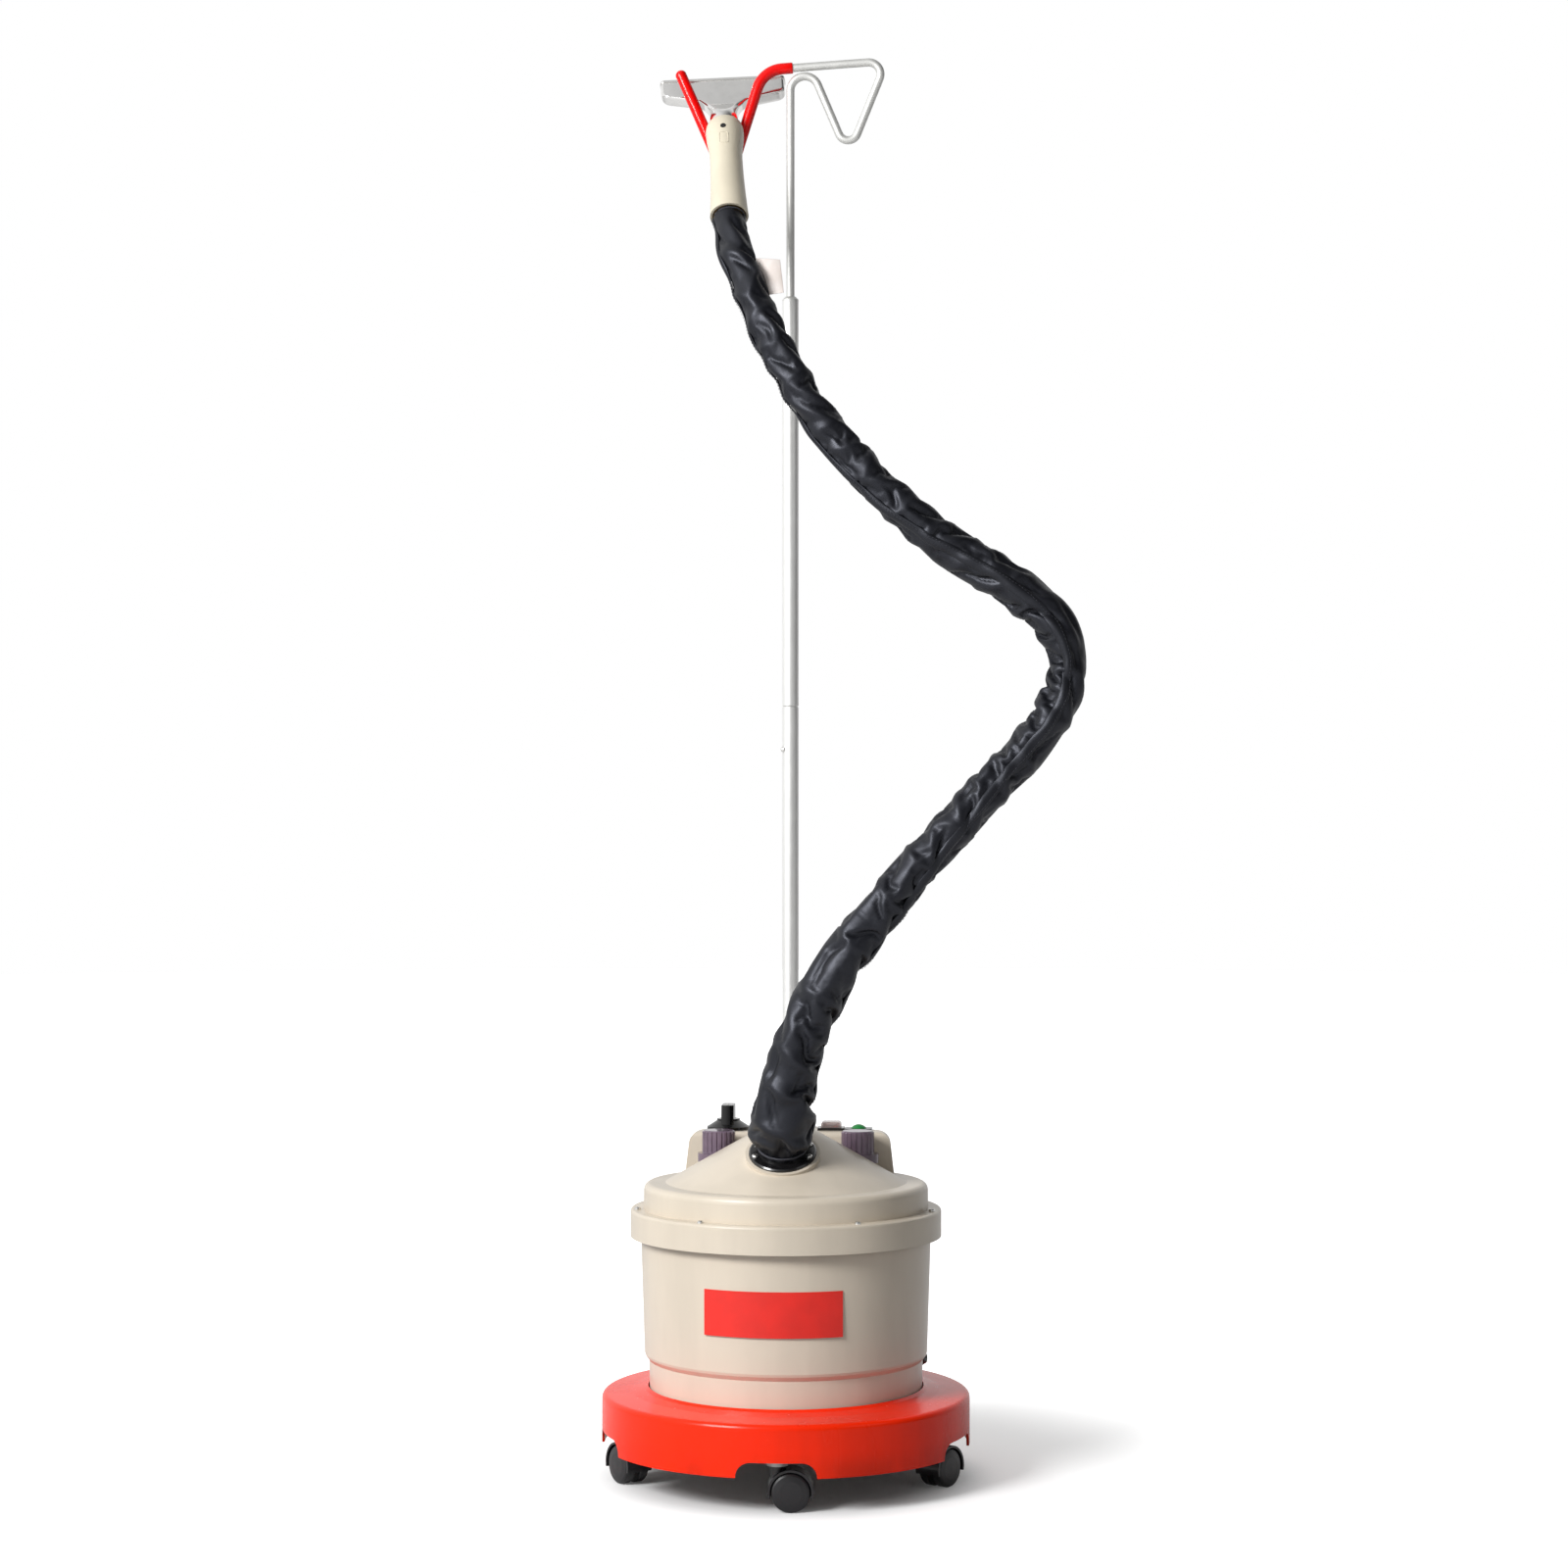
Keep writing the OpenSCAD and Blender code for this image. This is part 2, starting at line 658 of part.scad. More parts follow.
module tank_neck(side) {
    color(case_beige) translate([side * cap_x, cap_y, 0]) difference() {
        union() {
            translate([0, 0, deck_z - 14]) cylinder(h = neck_top_z - deck_z + 14, r = neck_body_r
                - 2);
            translate([0, 0, deck_z - lid_wall]) cylinder(h = lid_wall + 1, r = neck_body_r);
            translate([0, 0, deck_z + 0.05]) cylinder(h = 4, r = neck_flange_r);
        }
        translate([0, 0, deck_z - 20]) cylinder(h = 60, r = neck_bore_r - 2);
    }
}
module filler_neck() { tank_neck(-1); }
module relief_neck() { tank_neck(1); }

// The seal is a disc with a skirt that plugs the neck; it rises with the cap
module neck_seal(side) {
    color([0.75, 0.73, 0.70]) translate([side * cap_x, cap_y, 0]) {
        translate([0, 0, neck_top_z + 0.05]) cylinder(h = seal_t, r = neck_body_r - 2);
        translate([0, 0, neck_top_z - 5]) cylinder(h = 6, r = neck_bore_r - 2 - part_gap);
        translate([0, 0, neck_top_z + seal_t - 1])
            cylinder(h = cap_ceiling_z - neck_top_z - seal_t + 3, r = 5);
    }
}
module filler_seal() { neck_seal(-1); }
module relief_seal() { neck_seal(1); }

flute_r = cap_d * PI / flutes * 0.24;
module tank_cap(side) {
    color(cap_purple) translate([side * cap_x, cap_y, 0]) difference() {
        union() {
            translate([0, 0, cap_skirt_z]) cylinder(h = cap_top_z - 2 - cap_skirt_z, d = cap_d);
            translate([0, 0, cap_top_z - 2]) cylinder(h = 2, d1 = cap_d, d2 = cap_d - 4);
            translate([0, 0, cap_skirt_z]) cylinder(h = cap_flange_h, d = cap_flange_d - 3);
        }
        for (i = [0:flutes - 1]) rotate([0, 0, 360 / flutes * i])
            translate([cap_d / 2 + 0.2, 0, cap_skirt_z + cap_flange_h + 1.5])
                cylinder(h = cap_h, r = flute_r, $fn = 16);
        for (i = [0:cap_teeth - 1]) rotate([0, 0, 360 / cap_teeth * i])
            translate([cap_flange_d / 2 - 0.7, -1.6, cap_skirt_z - 1])
                cube([6, 3.2, cap_flange_h + 2]);
        translate([0, 0, cap_skirt_z - 1])
            cylinder(h = cap_ceiling_z - cap_skirt_z + 1, r = neck_body_r - 2 + part_gap);
        translate([0, 0, cap_skirt_z - 1])
            cylinder(h = cap_ceiling_z + 3 - cap_skirt_z + 1, r = 5 + run_fit);
    }
}
module filler_cap() { tank_cap(-1); }
module relief_cap() { tank_cap(1); }

// ---------------------------------------------------------------- hose outlet

ring_flange_h = 5;
ring_top = 14;
ring_collar_r = 25;
outlet_screw_r = 31.8;
outlet_screw_angle = 21;
hose_bore_r = 9;
module at_outlet_screws() {
    at_outlet() for (side = [0, 180], a = [-outlet_screw_angle, outlet_screw_angle])
        rotate([0, 0, side + a]) translate([outlet_screw_r, 0, 0]) children();
}

module outlet_ring() {
    color(soft_black) difference() {
        at_outlet() union() {
            translate([0, 0, 0.05]) cylinder(h = ring_flange_h - 1.5, r = outlet_ring_r);
            translate([0, 0, ring_flange_h - 1.5])
                cylinder(h = 1.5, r1 = outlet_ring_r, r2 = outlet_ring_r - 1.5);
            cylinder_stack([[ring_flange_h - 0.5, ring_collar_r + 1.5],
                [ring_flange_h + 2, ring_collar_r]], ring_top - 0.05);
        }
        at_outlet() translate([0, 0, -1]) cylinder(h = 30, r = hose_r + 2 * run_fit);
        at_outlet_screws() translate([0, 0, -1]) cylinder(h = 12, d = m4 + 2 * screw_gap);
    }
}
// Cylinders that each start at their own height and end together
module cylinder_stack(steps, top) {
    for (s = steps) translate([0, 0, s[0]]) cylinder(h = (s == steps[0] ? steps[1][0] : top)
        - s[0], r = s[1]);
}
module outlet_screws() {
    color(bright_steel) at_outlet_screws() translate([0, 0, ring_flange_h]) pan_screw(12);
}
module outlet_pipe() {
    color(brass) at_outlet() difference() {
        union() {
            translate([0, 0, -30]) cylinder(h = 30 + ring_top, r = hose_r);
            translate([0, 0, -boss_depth - 4]) cylinder(h = 4 - 0.05, r = hose_r + 5);
        }
        translate([0, 0, -31]) cylinder(h = 80, r = hose_bore_r);
    }
}

// ---------------------------------------------------------------- control box

box_edge_r = 6;
box_side_r = 14;
box_draft = 4;
panel_top_z = box_top_z;
dial_x = -73;
dial_y = 107;
rocker_x = 47.5;
lamp_x = 79.5;
switch_y = 107;
socket_r = 15;

// Form of the control box, drawn in by w on every side, open at the deck
module box_form(w) {
    half_low = box_w / 2 - w;
    half_top = box_w / 2 - box_draft - w;
    top = box_top_z - w;
    er = box_edge_r - w / 2;
    sr = box_side_r - w;
    front = box_front + w;
    past_back = box_back_r + box_back_gap;
    low = w > 0 ? deck_z - 1 : deck_z + 0.05;
    intersection() {
        translate([0, past_back, 0]) rotate([90, 0, 0]) linear_extrude(past_back)
            polygon(concat([[half_low, low]], arc([half_top - sr, top - sr], sr, 5, 90, 6),
                arc([-half_top + sr, top - sr], sr, 90, 175, 6), [[-half_low, low]]));
        translate([-box_w, 0, 0]) rotate([90, 0, 90]) linear_extrude(2 * box_w)
            polygon(concat([[past_back, low], [past_back, top]],
                arc([front + 2 + er, top - er], er, 90, 176, 4), [[front, low]]));
        translate([0, 0, low]) cylinder(h = top - low, r1 = box_back_r - w, r2 = box_back_r - 3 - w);
    }
}

module control_box() {
    color(case_beige) difference() {
        box_form(0);
        box_form(box_wall);
        translate([0, pole_y, deck_z]) cylinder(h = box_h + 5, r = socket_r - 3 + screw_gap);
        translate([dial_x, dial_y, box_top_z - 10]) cylinder(h = 20, d = 10 + 2 * run_fit);
        translate([rocker_x - 12.2, switch_y - 9.2, box_top_z - 10]) cube([24.4, 18.4, 20]);
        translate([lamp_x, switch_y, box_top_z - 10]) cylinder(h = 20, d = 12 + 2 * screw_gap);
    }
}

regulator_t = 16;
regulator_d = 32;
under_panel_z = box_top_z - box_wall;
module heat_regulator() {
    color(soft_black) translate([dial_x, dial_y, 0]) difference() {
        union() {
            translate([0, 0, under_panel_z - 0.05 - regulator_t])
                cylinder(h = regulator_t, d = regulator_d);
            translate([0, 0, under_panel_z - 1]) cylinder(h = box_wall + 1.5, d = 10);
        }
        translate([0, 0, under_panel_z - 10]) cylinder(h = 30, d = spindle_d + 2 * run_fit);
    }
}

dial_gap = 0.8;
dial_neck_d = 27;
grip_w = 14.5;
grip_l = 36;
module heat_dial() {
    z0 = box_top_z + dial_gap;
    color(soft_black) translate([dial_x, dial_y, 0]) difference() {
        union() {
            translate([0, 0, z0]) cylinder(h = 3, d = dial_d);
            translate([0, 0, z0 + 3])
                cylinder(h = dial_skirt_h - 5, d1 = dial_d - 1, d2 = dial_neck_d);
            translate([0, 0, z0 + 3]) cylinder(h = dial_skirt_h - 3, d = dial_neck_d);
            intersection() {
                translate([0, 0, z0 + dial_skirt_h - 6])
                    cylinder(h = dial_grip_h + 6, d1 = grip_l + 3, d2 = grip_l - 2);
                translate([-grip_w / 2, -grip_l, z0]) cube([grip_w, 2 * grip_l, 60]);
            }
            translate([0, 0, under_panel_z - 9]) cylinder(h = 9 + box_wall + 2, d = spindle_d);
        }
        translate([0, 0, z0 - 1]) difference() {
            cylinder(h = 2.5, d = dial_d - 5);
            translate([0, 0, -1]) cylinder(h = 5, d = spindle_d + 0.02);
        }
    }
}

bezel_w = 31.6;
bezel_d = 24;
bezel_t = 3;
rocker_w = 18;
rocker_d = 13;
rocker_pin_z = box_top_z + 1;
rocker_pin_d = 3;
module rocker_bezel() {
    color(soft_black) translate([rocker_x, switch_y, 0]) difference() {
        union() {
            translate([-bezel_w / 2, -bezel_d / 2, box_top_z + 0.05]) cube([bezel_w, bezel_d, bezel_t]);
            translate([-12, -9, under_panel_z - 16]) cube([24, 18, 16 + box_wall + 1]);
        }
        translate([-rocker_w / 2 - 1, -rocker_d / 2 - part_gap, under_panel_z - 4])
            cube([rocker_w + 2, rocker_d + 2 * part_gap, 20]);
        translate([0, 10, rocker_pin_z]) rotate([90, 0, 0])
            cylinder(h = 20, d = rocker_pin_d + 2 * run_fit);
    }
}

rocker_r = 11;
module power_rocker() {
    color([0.75, 0.12, 0.10]) translate([rocker_x, switch_y, 0]) {
        intersection() {
            translate([0, rocker_d / 2, rocker_pin_z + 13]) rotate([90, 0, 0])
                difference() {
                    translate([-rocker_w / 2, -13 - 3, 0]) cube([rocker_w, 13 - 7 + 3, rocker_d]);
                    translate([0, 7, -1]) cylinder(h = rocker_d + 2, r = 15.5);
                }
            translate([-rocker_w / 2, -rocker_d / 2, rocker_pin_z - 3])
                cube([rocker_w, rocker_d, 12]);
        }
        translate([0, 8.5, rocker_pin_z]) rotate([90, 0, 0])
            cylinder(h = 17, d = rocker_pin_d);
    }
}

boot_h = 7;
boot_wall = 0.8;
module switch_boot() {
    w = bezel_w - 8;
    d = bezel_d - 5;
    z0 = box_top_z + bezel_t + 0.05;
    color([0.9, 0.88, 0.86, 0.6]) translate([rocker_x, switch_y, z0]) difference() {
        boot_block(w, d, boot_h);
        translate([0, 0, -0.05]) boot_block(w - 2 * boot_wall, d - 2 * boot_wall, boot_h - boot_wall);
    }
}
// Block with rounded ends, seen from the front
module boot_block(w, d, h) {
    r = 3.5;
    translate([0, d / 2, 0]) rotate([90, 0, 0]) linear_extrude(d)
        polygon(concat([[w / 2, 0]], arc([w / 2 - r, h - r], r, 0, 90, 4),
            arc([-w / 2 + r, h - r], r, 90, 180, 4), [[-w / 2, 0]]));
}

lens_d = 18.5;
lens_h = 4.5;
lamp_bezel_w = 31;
lamp_bezel_d = 24;
lamp_bezel_t = 2.2;
module lamp_bezel() {
    color(soft_black) translate([lamp_x, switch_y, 0]) difference() {
        translate([-lamp_bezel_w / 2, -lamp_bezel_d / 2, box_top_z + 0.05])
            cube([lamp_bezel_w, lamp_bezel_d, lamp_bezel_t]);
        translate([0, 0, box_top_z - 1]) cylinder(h = 10, d = 12 + 2 * screw_gap);
    }
}
module lamp_lens() {
    r = (lens_d * lens_d / 4 + lens_h * lens_h) / (2 * lens_h);
    z0 = box_top_z + lamp_bezel_t + 0.1;
    color([0.1, 0.6, 0.25]) translate([lamp_x, switch_y, 0]) {
        translate([0, 0, under_panel_z - 14]) cylinder(h = z0 - under_panel_z + 15, d = 12);
        intersection() {
            translate([0, 0, z0 + lens_h - r]) sphere(r = r);
            translate([0, 0, z0]) cylinder(h = lens_h + 1, d = lens_d + 1);
        }
    }
}

// ---------------------------------------------------------------- pole

socket_foot_z = deck_z + 0.05;
socket_above = 9;
tube_r = tube_d / 2;
tube_in_r = tube_r - tube_wall;
tube_foot_z = deck_z + 4;
module pole_socket() {
    color(soft_black) translate([0, pole_y, 0]) difference() {
        union() {
            translate([0, 0, socket_foot_z]) cylinder(h = 6, r = socket_r + 4);
            translate([0, 0, socket_foot_z])
                cylinder(h = box_top_z + 1 - socket_foot_z, r = socket_r - 3);
            translate([0, 0, box_top_z + 0.05]) cylinder(h = socket_above - 3, r = socket_r);
            translate([0, 0, box_top_z + socket_above - 3])
                cylinder(h = 3, r1 = socket_r, r2 = socket_r - 3);
        }
        translate([0, 0, tube_foot_z]) cylinder(h = 200, r = tube_r + run_fit);
    }
}

function pole_tube_outline(z0, z1) = [[tube_in_r, z0], [tube_r, z0], [tube_r, z1 - 1],
    [tube_r - 0.6, z1], [tube_in_r, z1]];

button_d = 6;
button_angle = -145;
button_z = joint_z - 50;
button_travel = 3.5;
plug_r = tube_in_r - run_fit;
plug_wall = 1.5;
plug_in_low = 72;
plug_in_high = 35;
module at_button() {
    translate([0, pole_y, button_z]) rotate([0, 0, button_angle]) rotate([0, 90, 0]) children();
}

module lower_tube() {
    color(bright_steel) difference() {
        translate([0, pole_y, 0]) rotate_extrude()
            polygon(pole_tube_outline(tube_foot_z, joint_z - 0.3));
        at_button() cylinder(h = 20, d = button_d + 2 * run_fit);
    }
}
module upper_tube() {
    color(bright_steel) translate([0, pole_y, 0]) rotate_extrude()
        polygon([[tube_in_r, joint_z + 0.3], [tube_r - 0.6, joint_z + 0.3],
            [tube_r, joint_z + 1.3], [tube_r, tube_top_z], [tube_in_r, tube_top_z]]);
}
module joint_plug() {
    color(bright_steel) difference() {
        translate([0, pole_y, joint_z - plug_in_low]) difference() {
            cylinder(h = plug_in_low + plug_in_high, r = plug_r);
            translate([0, 0, -1])
                cylinder(h = plug_in_low + plug_in_high + 2, r = plug_r - plug_wall);
        }
        at_button() cylinder(h = 20, d = button_d + 2 * run_fit);
    }
}
button_flange_r = 3.9;
button_seat = sqrt((plug_r - plug_wall - 0.1) ^ 2 - button_flange_r ^ 2) - 1;
module snap_button() {
    color(bright_steel) at_button() {
        inner = button_seat;
        translate([0, 0, inner]) cylinder(h = tube_r + 1.6 - inner, d = button_d);
        translate([0, 0, tube_r + 1.6]) cylinder(h = 1.4, d1 = button_d, d2 = 3);
        translate([0, 0, inner]) cylinder(h = 1, r = button_flange_r);
    }
}
// Leaf that pushes the button out, curled against the far wall of the plug
module button_spring() {
    r = plug_r - plug_wall - 0.05;
    color(bright_steel) translate([0, pole_y, button_z - 5]) rotate([0, 0, button_angle])
        rotate([0, 0, 100]) rotate_extrude(angle = 160) translate([r - 0.6, 0]) square([0.6, 10]);
}
bush_l = 22;
bush_above = 5;
module rod_bush() {
    color(bright_steel) translate([0, pole_y, 0]) difference() {
        union() {
            translate([0, 0, tube_top_z - bush_l]) cylinder(h = bush_l + 1, r = tube_in_r - run_fit);
            translate([0, 0, tube_top_z + 0.05]) cylinder(h = 1.5, r = tube_r);
            translate([0, 0, tube_top_z + 1.5])
                cylinder(h = bush_above - 1.5, r1 = tube_r, r2 = rod_d / 2 + 1.2);
        }
        translate([0, 0, tube_top_z - bush_l - 1]) cylinder(h = 60, r = rod_d / 2 + run_fit);
    }
}

// ---------------------------------------------------------------- hook

hook_rise = 251;
rod_in_bush = 14;
hook_z = tube_top_z + hook_rise;
// Corners of the bent rod, sideways and up from the pole's axis at hook_z, and bend radii
hook_corners = [[0, -hook_rise - rod_in_bush, 0], [0, 76, 16.7], [67.6, -82.4, 11.5], [112.4, 27.7, 14],
    [-31.9, 18.8, 32], [-73.2, -111.5, 14], [-128, 14, 0]];
// The cradle's sleeve starts this far along the rod's top run from its last corner
cradle_run = 34.8;
cradle_start = hook_corners[4] + cradle_run * unit(hook_corners[3] - hook_corners[4]);
bend_step = 15;
function in_place(p) = [p[0], pole_y, hook_z + p[1]];
function bend(p0, p1, p2, r) = let (a = unit(p0 - p1), b = unit(p2 - p1), half = acos(a * b) / 2,
    c = p1 + unit(a + b) * r / sin(half), u = unit(p1 + a * r / tan(half) - c),
    v = unit(p1 + b * r / tan(half) - c), w = unit(v - (v * u) * u), turn = 180 - 2 * half,
    steps = ceil(turn / bend_step))
    [for (i = [0:steps]) c + r * (u * cos(turn * i / steps) + w * sin(turn * i / steps))];
function bent_path(k) = let (p = [for (c = k) in_place(c)], last = len(k) - 1)
    concat([p[0]], [for (i = [1:last - 1]) each bend(p[i - 1], p[i], p[i + 1], k[i][2])],
        [p[last]]);
hook_sides = 14;
hook_path = bent_path(hook_corners);
cradle_path = bent_path(concat([[cradle_start[0], cradle_start[1], 0]],
    [for (i = [4:6]) hook_corners[i]]));
function same(n, r) = [for (i = [1:n]) r];

module hook_rod() {
    color(bright_steel) skin(swept_rings(hook_path, same(len(hook_path), rod_d / 2), hook_sides));
}
module cradle_sleeve() {
    n = len(cradle_path);
    bore = (rod_d / 2 + run_fit) / cos(180 / hook_sides);
    tip = cradle_path[n - 1];
    way = unit(tip - cradle_path[n - 2]);
    cap = [for (s = [[-6, 1], [0.6, 1], [3, 0.9], [4.8, 0.65], [5.8, 0.3]])
        [tip + way * s[0], s[1] * cradle_d / 2]];
    ends = [for (c = cap) if (c[1] < cradle_d / 2) c];
    outer = swept_rings(concat(cradle_path, [for (c = ends) c[0]]),
        concat(same(n, cradle_d / 2), [for (c = ends) c[1]]), hook_sides);
    inner = swept_rings(concat(cradle_path, [tip + way * 0.3]), same(n + 1, bore), hook_sides);
    color("red") skin(concat(reversed(inner), outer));
}

// ---------------------------------------------------------------- handset

// Centre of the handle's top rim, where the neck enters it
neck_x = -76;
neck_y = pole_y - 17;
neck_z = hook_z - 50;
handset_roll = -5.3;
module on_handset() {
    translate([neck_x, neck_y, neck_z]) rotate([-handset_tilt, handset_roll, 0]) children();
}
handle_r = handle_d / 2;
waist_r = handle_waist_d / 2;
rim_r = neck_r + part_gap + 1.2;
dome_h = 13;
waist_s = 52;
function handle_line(w) = concat(
    [for (i = [0:5]) let (a = 90 - 18 * i)
        [rim_r + (handle_r - rim_r) * cos(a) - w, -dome_h + dome_h * sin(a) + (i == 0 ? eps : 0)]],
    [for (i = [1:5]) let (k = i / 5, s = (1 - cos(180 * k)) / 2)
        [handle_r + (waist_r - handle_r) * s - w, -dome_h - (waist_s - dome_h) * k]],
    [for (i = [1:6]) let (k = i / 6, s = 1 - cos(90 * k))
        [waist_r + (handle_r - waist_r) * s - w, -waist_s - (handle_l - waist_s) * k]]);
handle_screw_s = -20;
handle_screw_sink = 1.6;
handle_screw_head_d = 6;
module at_handle_screw() {
    translate([0, 0, handle_screw_s]) rotate([90, 0, 0]) children();
}
tube_s_r = 10;
tube_s_wall = 1.5;
coupling_l = 15;
steam_tube_l = handle_l - coupling_l - 1;

module handle() {
    bore = [for (p = reversed(handle_line(handle_wall))) [max(p[0], 0), p[1]]];
    color(case_beige) on_handset() difference() {
        rotate_extrude() polygon(concat([[rim_r, 0]], handle_line(0),
            [for (p = bore) if (p[1] < -4) p], [[neck_r + 0.1, -6.5], [neck_r + 0.1, 0]]));
        at_handle_screw() cylinder(h = 40, d = m4 + 2 * screw_gap);
        at_handle_screw() translate([0, 0, handle_r - handle_screw_sink])
            cylinder(h = 20, d = handle_screw_head_d + 2 * screw_gap);
    }
}
module handle_screw() {
    color(soft_black) on_handset() at_handle_screw() {
        translate([0, 0, tube_s_r + 0.1])
            cylinder(h = handle_r - tube_s_r - handle_screw_sink, d = m4);
        translate([0, 0, handle_r - handle_screw_sink])
            cylinder(h = handle_screw_sink + 0.3, d = handle_screw_head_d);
    }
}
module steam_tube() {
    color(bright_steel) on_handset() difference() {
        union() {
            translate([0, 0, -steam_tube_l]) cylinder(h = steam_tube_l, r = tube_s_r);
            translate([0, 0, -6]) cylinder(h = 5, r = neck_r - head_wall - part_gap);
        }
        translate([0, 0, -steam_tube_l - 1])
            cylinder(h = steam_tube_l + 2, r = tube_s_r - tube_s_wall);
    }
}
module hose_coupling() {
    color(brass) on_handset() translate([0, 0, -handle_l + 0.5]) difference() {
        union() {
            cylinder(h = coupling_l, r = 14, $fn = 6);
            cylinder(h = coupling_l - 4, r = handle_r - handle_wall - 1.2);
        }
        translate([0, 0, -1]) cylinder(h = coupling_l + 3, r = hose_bore_r - 1);
    }
}

// Steam head: a fish-tail lofted from the round neck to the wide end, which the plate closes
flare_s = 45;          // the flare's end, where the wings' lower edge starts
flare_w = 29;          // half width there
flare_bend = 22;
wing_s = 53;           // the wings' lower edge near the ends
wing_corner = 9;
head_front = 1;        // the wings' front face, behind the handle's axis
head_wall = 2.5;
head_level = 4.7;      // turns the wings level while the handle leans
plate_t = 3;
plate_rim = 1;
wing_w = head_w / 2 - plate_rim;
function smooth(k) = let (c = min(1, max(0, k))) c * c * (3 - 2 * c);
function wing_edge(x) = flare_s + (wing_s - flare_s) * (x - flare_w) / (wing_w - wing_corner
    - flare_w);
function head_half_w(s) = let (c = wing_s + wing_corner)
    s <= flare_s ? neck_r + (flare_w - neck_r) * max(0, (s - 10) / (flare_s - 10)) ^ 3.2
    : s <= wing_s ? flare_w + (wing_w - wing_corner - flare_w) * (s - flare_s)
        / (wing_s - flare_s)
    : s < c ? wing_w - wing_corner + sqrt(wing_corner ^ 2 - (c - s) ^ 2) : wing_w;
function head_half_t(s) = neck_r + (head_t / 2 - neck_r) * smooth(s / flare_s);
function head_mid(s) = (head_front + head_t / 2) * smooth((s - 3) / (flare_s - 3));
function head_corner(s) = neck_r - 0.05 + (4 - neck_r) * smooth(s / flare_s);
function head_ring(s, w) = let (ht = head_half_t(s) - w,
    hw = min(head_half_w(s) - w, head_half_w(s - w)),
    r = max(1, head_corner(s) - w))
    [for (c = [0:3], k = [0:4]) let (a = 90 * c + 18 * (k + 0.5))
        let (x = (c == 0 || c == 3 ? 1 : -1) * (hw - r) + r * cos(a))
        [x, head_mid(s) + (c < 2 ? 1 : -1) * (ht - r) + r * sin(a),
         s - x * tan(head_level) * smooth(s / flare_s)]];
head_stations = [-6, 0, 7, 14, 20, 25, 30, 34, 38, 41.5, 45, 49, 53, 53.4, 54.4, 56, 58.5, 62];
module head_shell() {
    outer = concat([for (s = head_stations) head_ring(s, 0)], [head_ring(head_l, 0)]);
    inner = concat([[for (p = head_ring(-6, head_wall)) [p.x, p.y, -7]]],
        [for (s = head_stations) head_ring(s, head_wall)],
        [head_ring(head_l + 1, head_wall)]);
    color(bright_steel) on_handset() difference() {
        skin(outer);
        skin(inner);
    }
}

plate_rows = 2;
plate_holes = 15;
hole_pitch = 8.8;
row_pitch = 6;
hole_d = 3;
module head_plate() {
    color(bright_steel) on_handset() translate([0, head_mid(head_l), head_l + 0.05])
        rotate([0, head_level, 0]) difference() {
            linear_extrude(plate_t)
                rounded_box_outline(head_w, head_t + 2 * plate_rim, 4 + plate_rim);
            for (row = [0:plate_rows - 1], i = [0:plate_holes - 1])
                translate([hole_pitch * (i - (plate_holes - 1) / 2),
                    row_pitch * (row - (plate_rows - 1) / 2), -1])
                    cylinder(h = plate_t + 2, d = hole_d, $fn = 24);
        }
}

// ---------------------------------------------------------------- hose and sleeve

function on_handset_axis(s) = let (y = sin(handset_tilt), z = cos(handset_tilt))
    [neck_x + s * z * sin(handset_roll), neck_y + s * y, neck_z + s * z * cos(handset_roll)];
outlet_out = [0, -sin(cone_slope), cos(cone_slope)];
outlet_point = [0, -outlet_reach, outlet_z];
mouth_gap = 0.4;
// Places that the hose passes through, chosen by hand
hose_route = [[5, -100, 445], [15, -105, 485], [30, -105, 525], [50, -110, 565],
    [80, -110, 610], [115, -110, 650], [150, -105, 695], [190, -105, 735], [225, -100, 775],
    [265, -95, 815], [300, -95, 860], [315, -90, 895], [315, -90, 930], [300, -90, 965],
    [270, -85, 990], [235, -85, 1015], [200, -80, 1035], [165, -80, 1060], [130, -80, 1090],
    [95, -80, 1125], [65, -75, 1160], [35, -75, 1195], [15, -70, 1230], [-5, -65, 1265],
    [-25, -55, 1305], [-40, -40, 1345], [-55, -25, 1380]];
// The hose runs straight for this length where it leaves the outlet and enters the handle
hose_lead = 22;
hose_path = concat([outlet_point + outlet_out * ring_top,
    outlet_point + outlet_out * (ring_top + hose_lead)], hose_route,
    [on_handset_axis(-handle_l - mouth_gap - hose_lead),
     on_handset_axis(-handle_l - mouth_gap)]);
// The sleeve is gathered at the outlet, swells above it and narrows to the handle
sleeve_gather_r = 26;
sleeve_swell_end = 0.22;
function sleeve_r(k) = k == 0 ? sleeve_gather_r
    : k < sleeve_swell_end ? sleeve_r_mid
        + (sleeve_r_low - sleeve_r_mid) * (1 - k / sleeve_swell_end) ^ 1.3
    : sleeve_r_mid + (sleeve_r_high - sleeve_r_mid)
        * smooth((k - sleeve_swell_end) / (1 - sleeve_swell_end));
sleeve_radii = [for (i = [0:len(hose_path) - 1]) sleeve_r(i / (len(hose_path) - 1))];

module steam_hose() {
    color(soft_black) skin(swept_rings(hose_path, same(len(hose_path), hose_r), 10));
}
module hose_sleeve() {
    color(soft_black) tube_skin(swept_rings(hose_path, sleeve_radii, 12),
        swept_rings(hose_path, same(len(hose_path), hose_r + 0.6), 12));
}

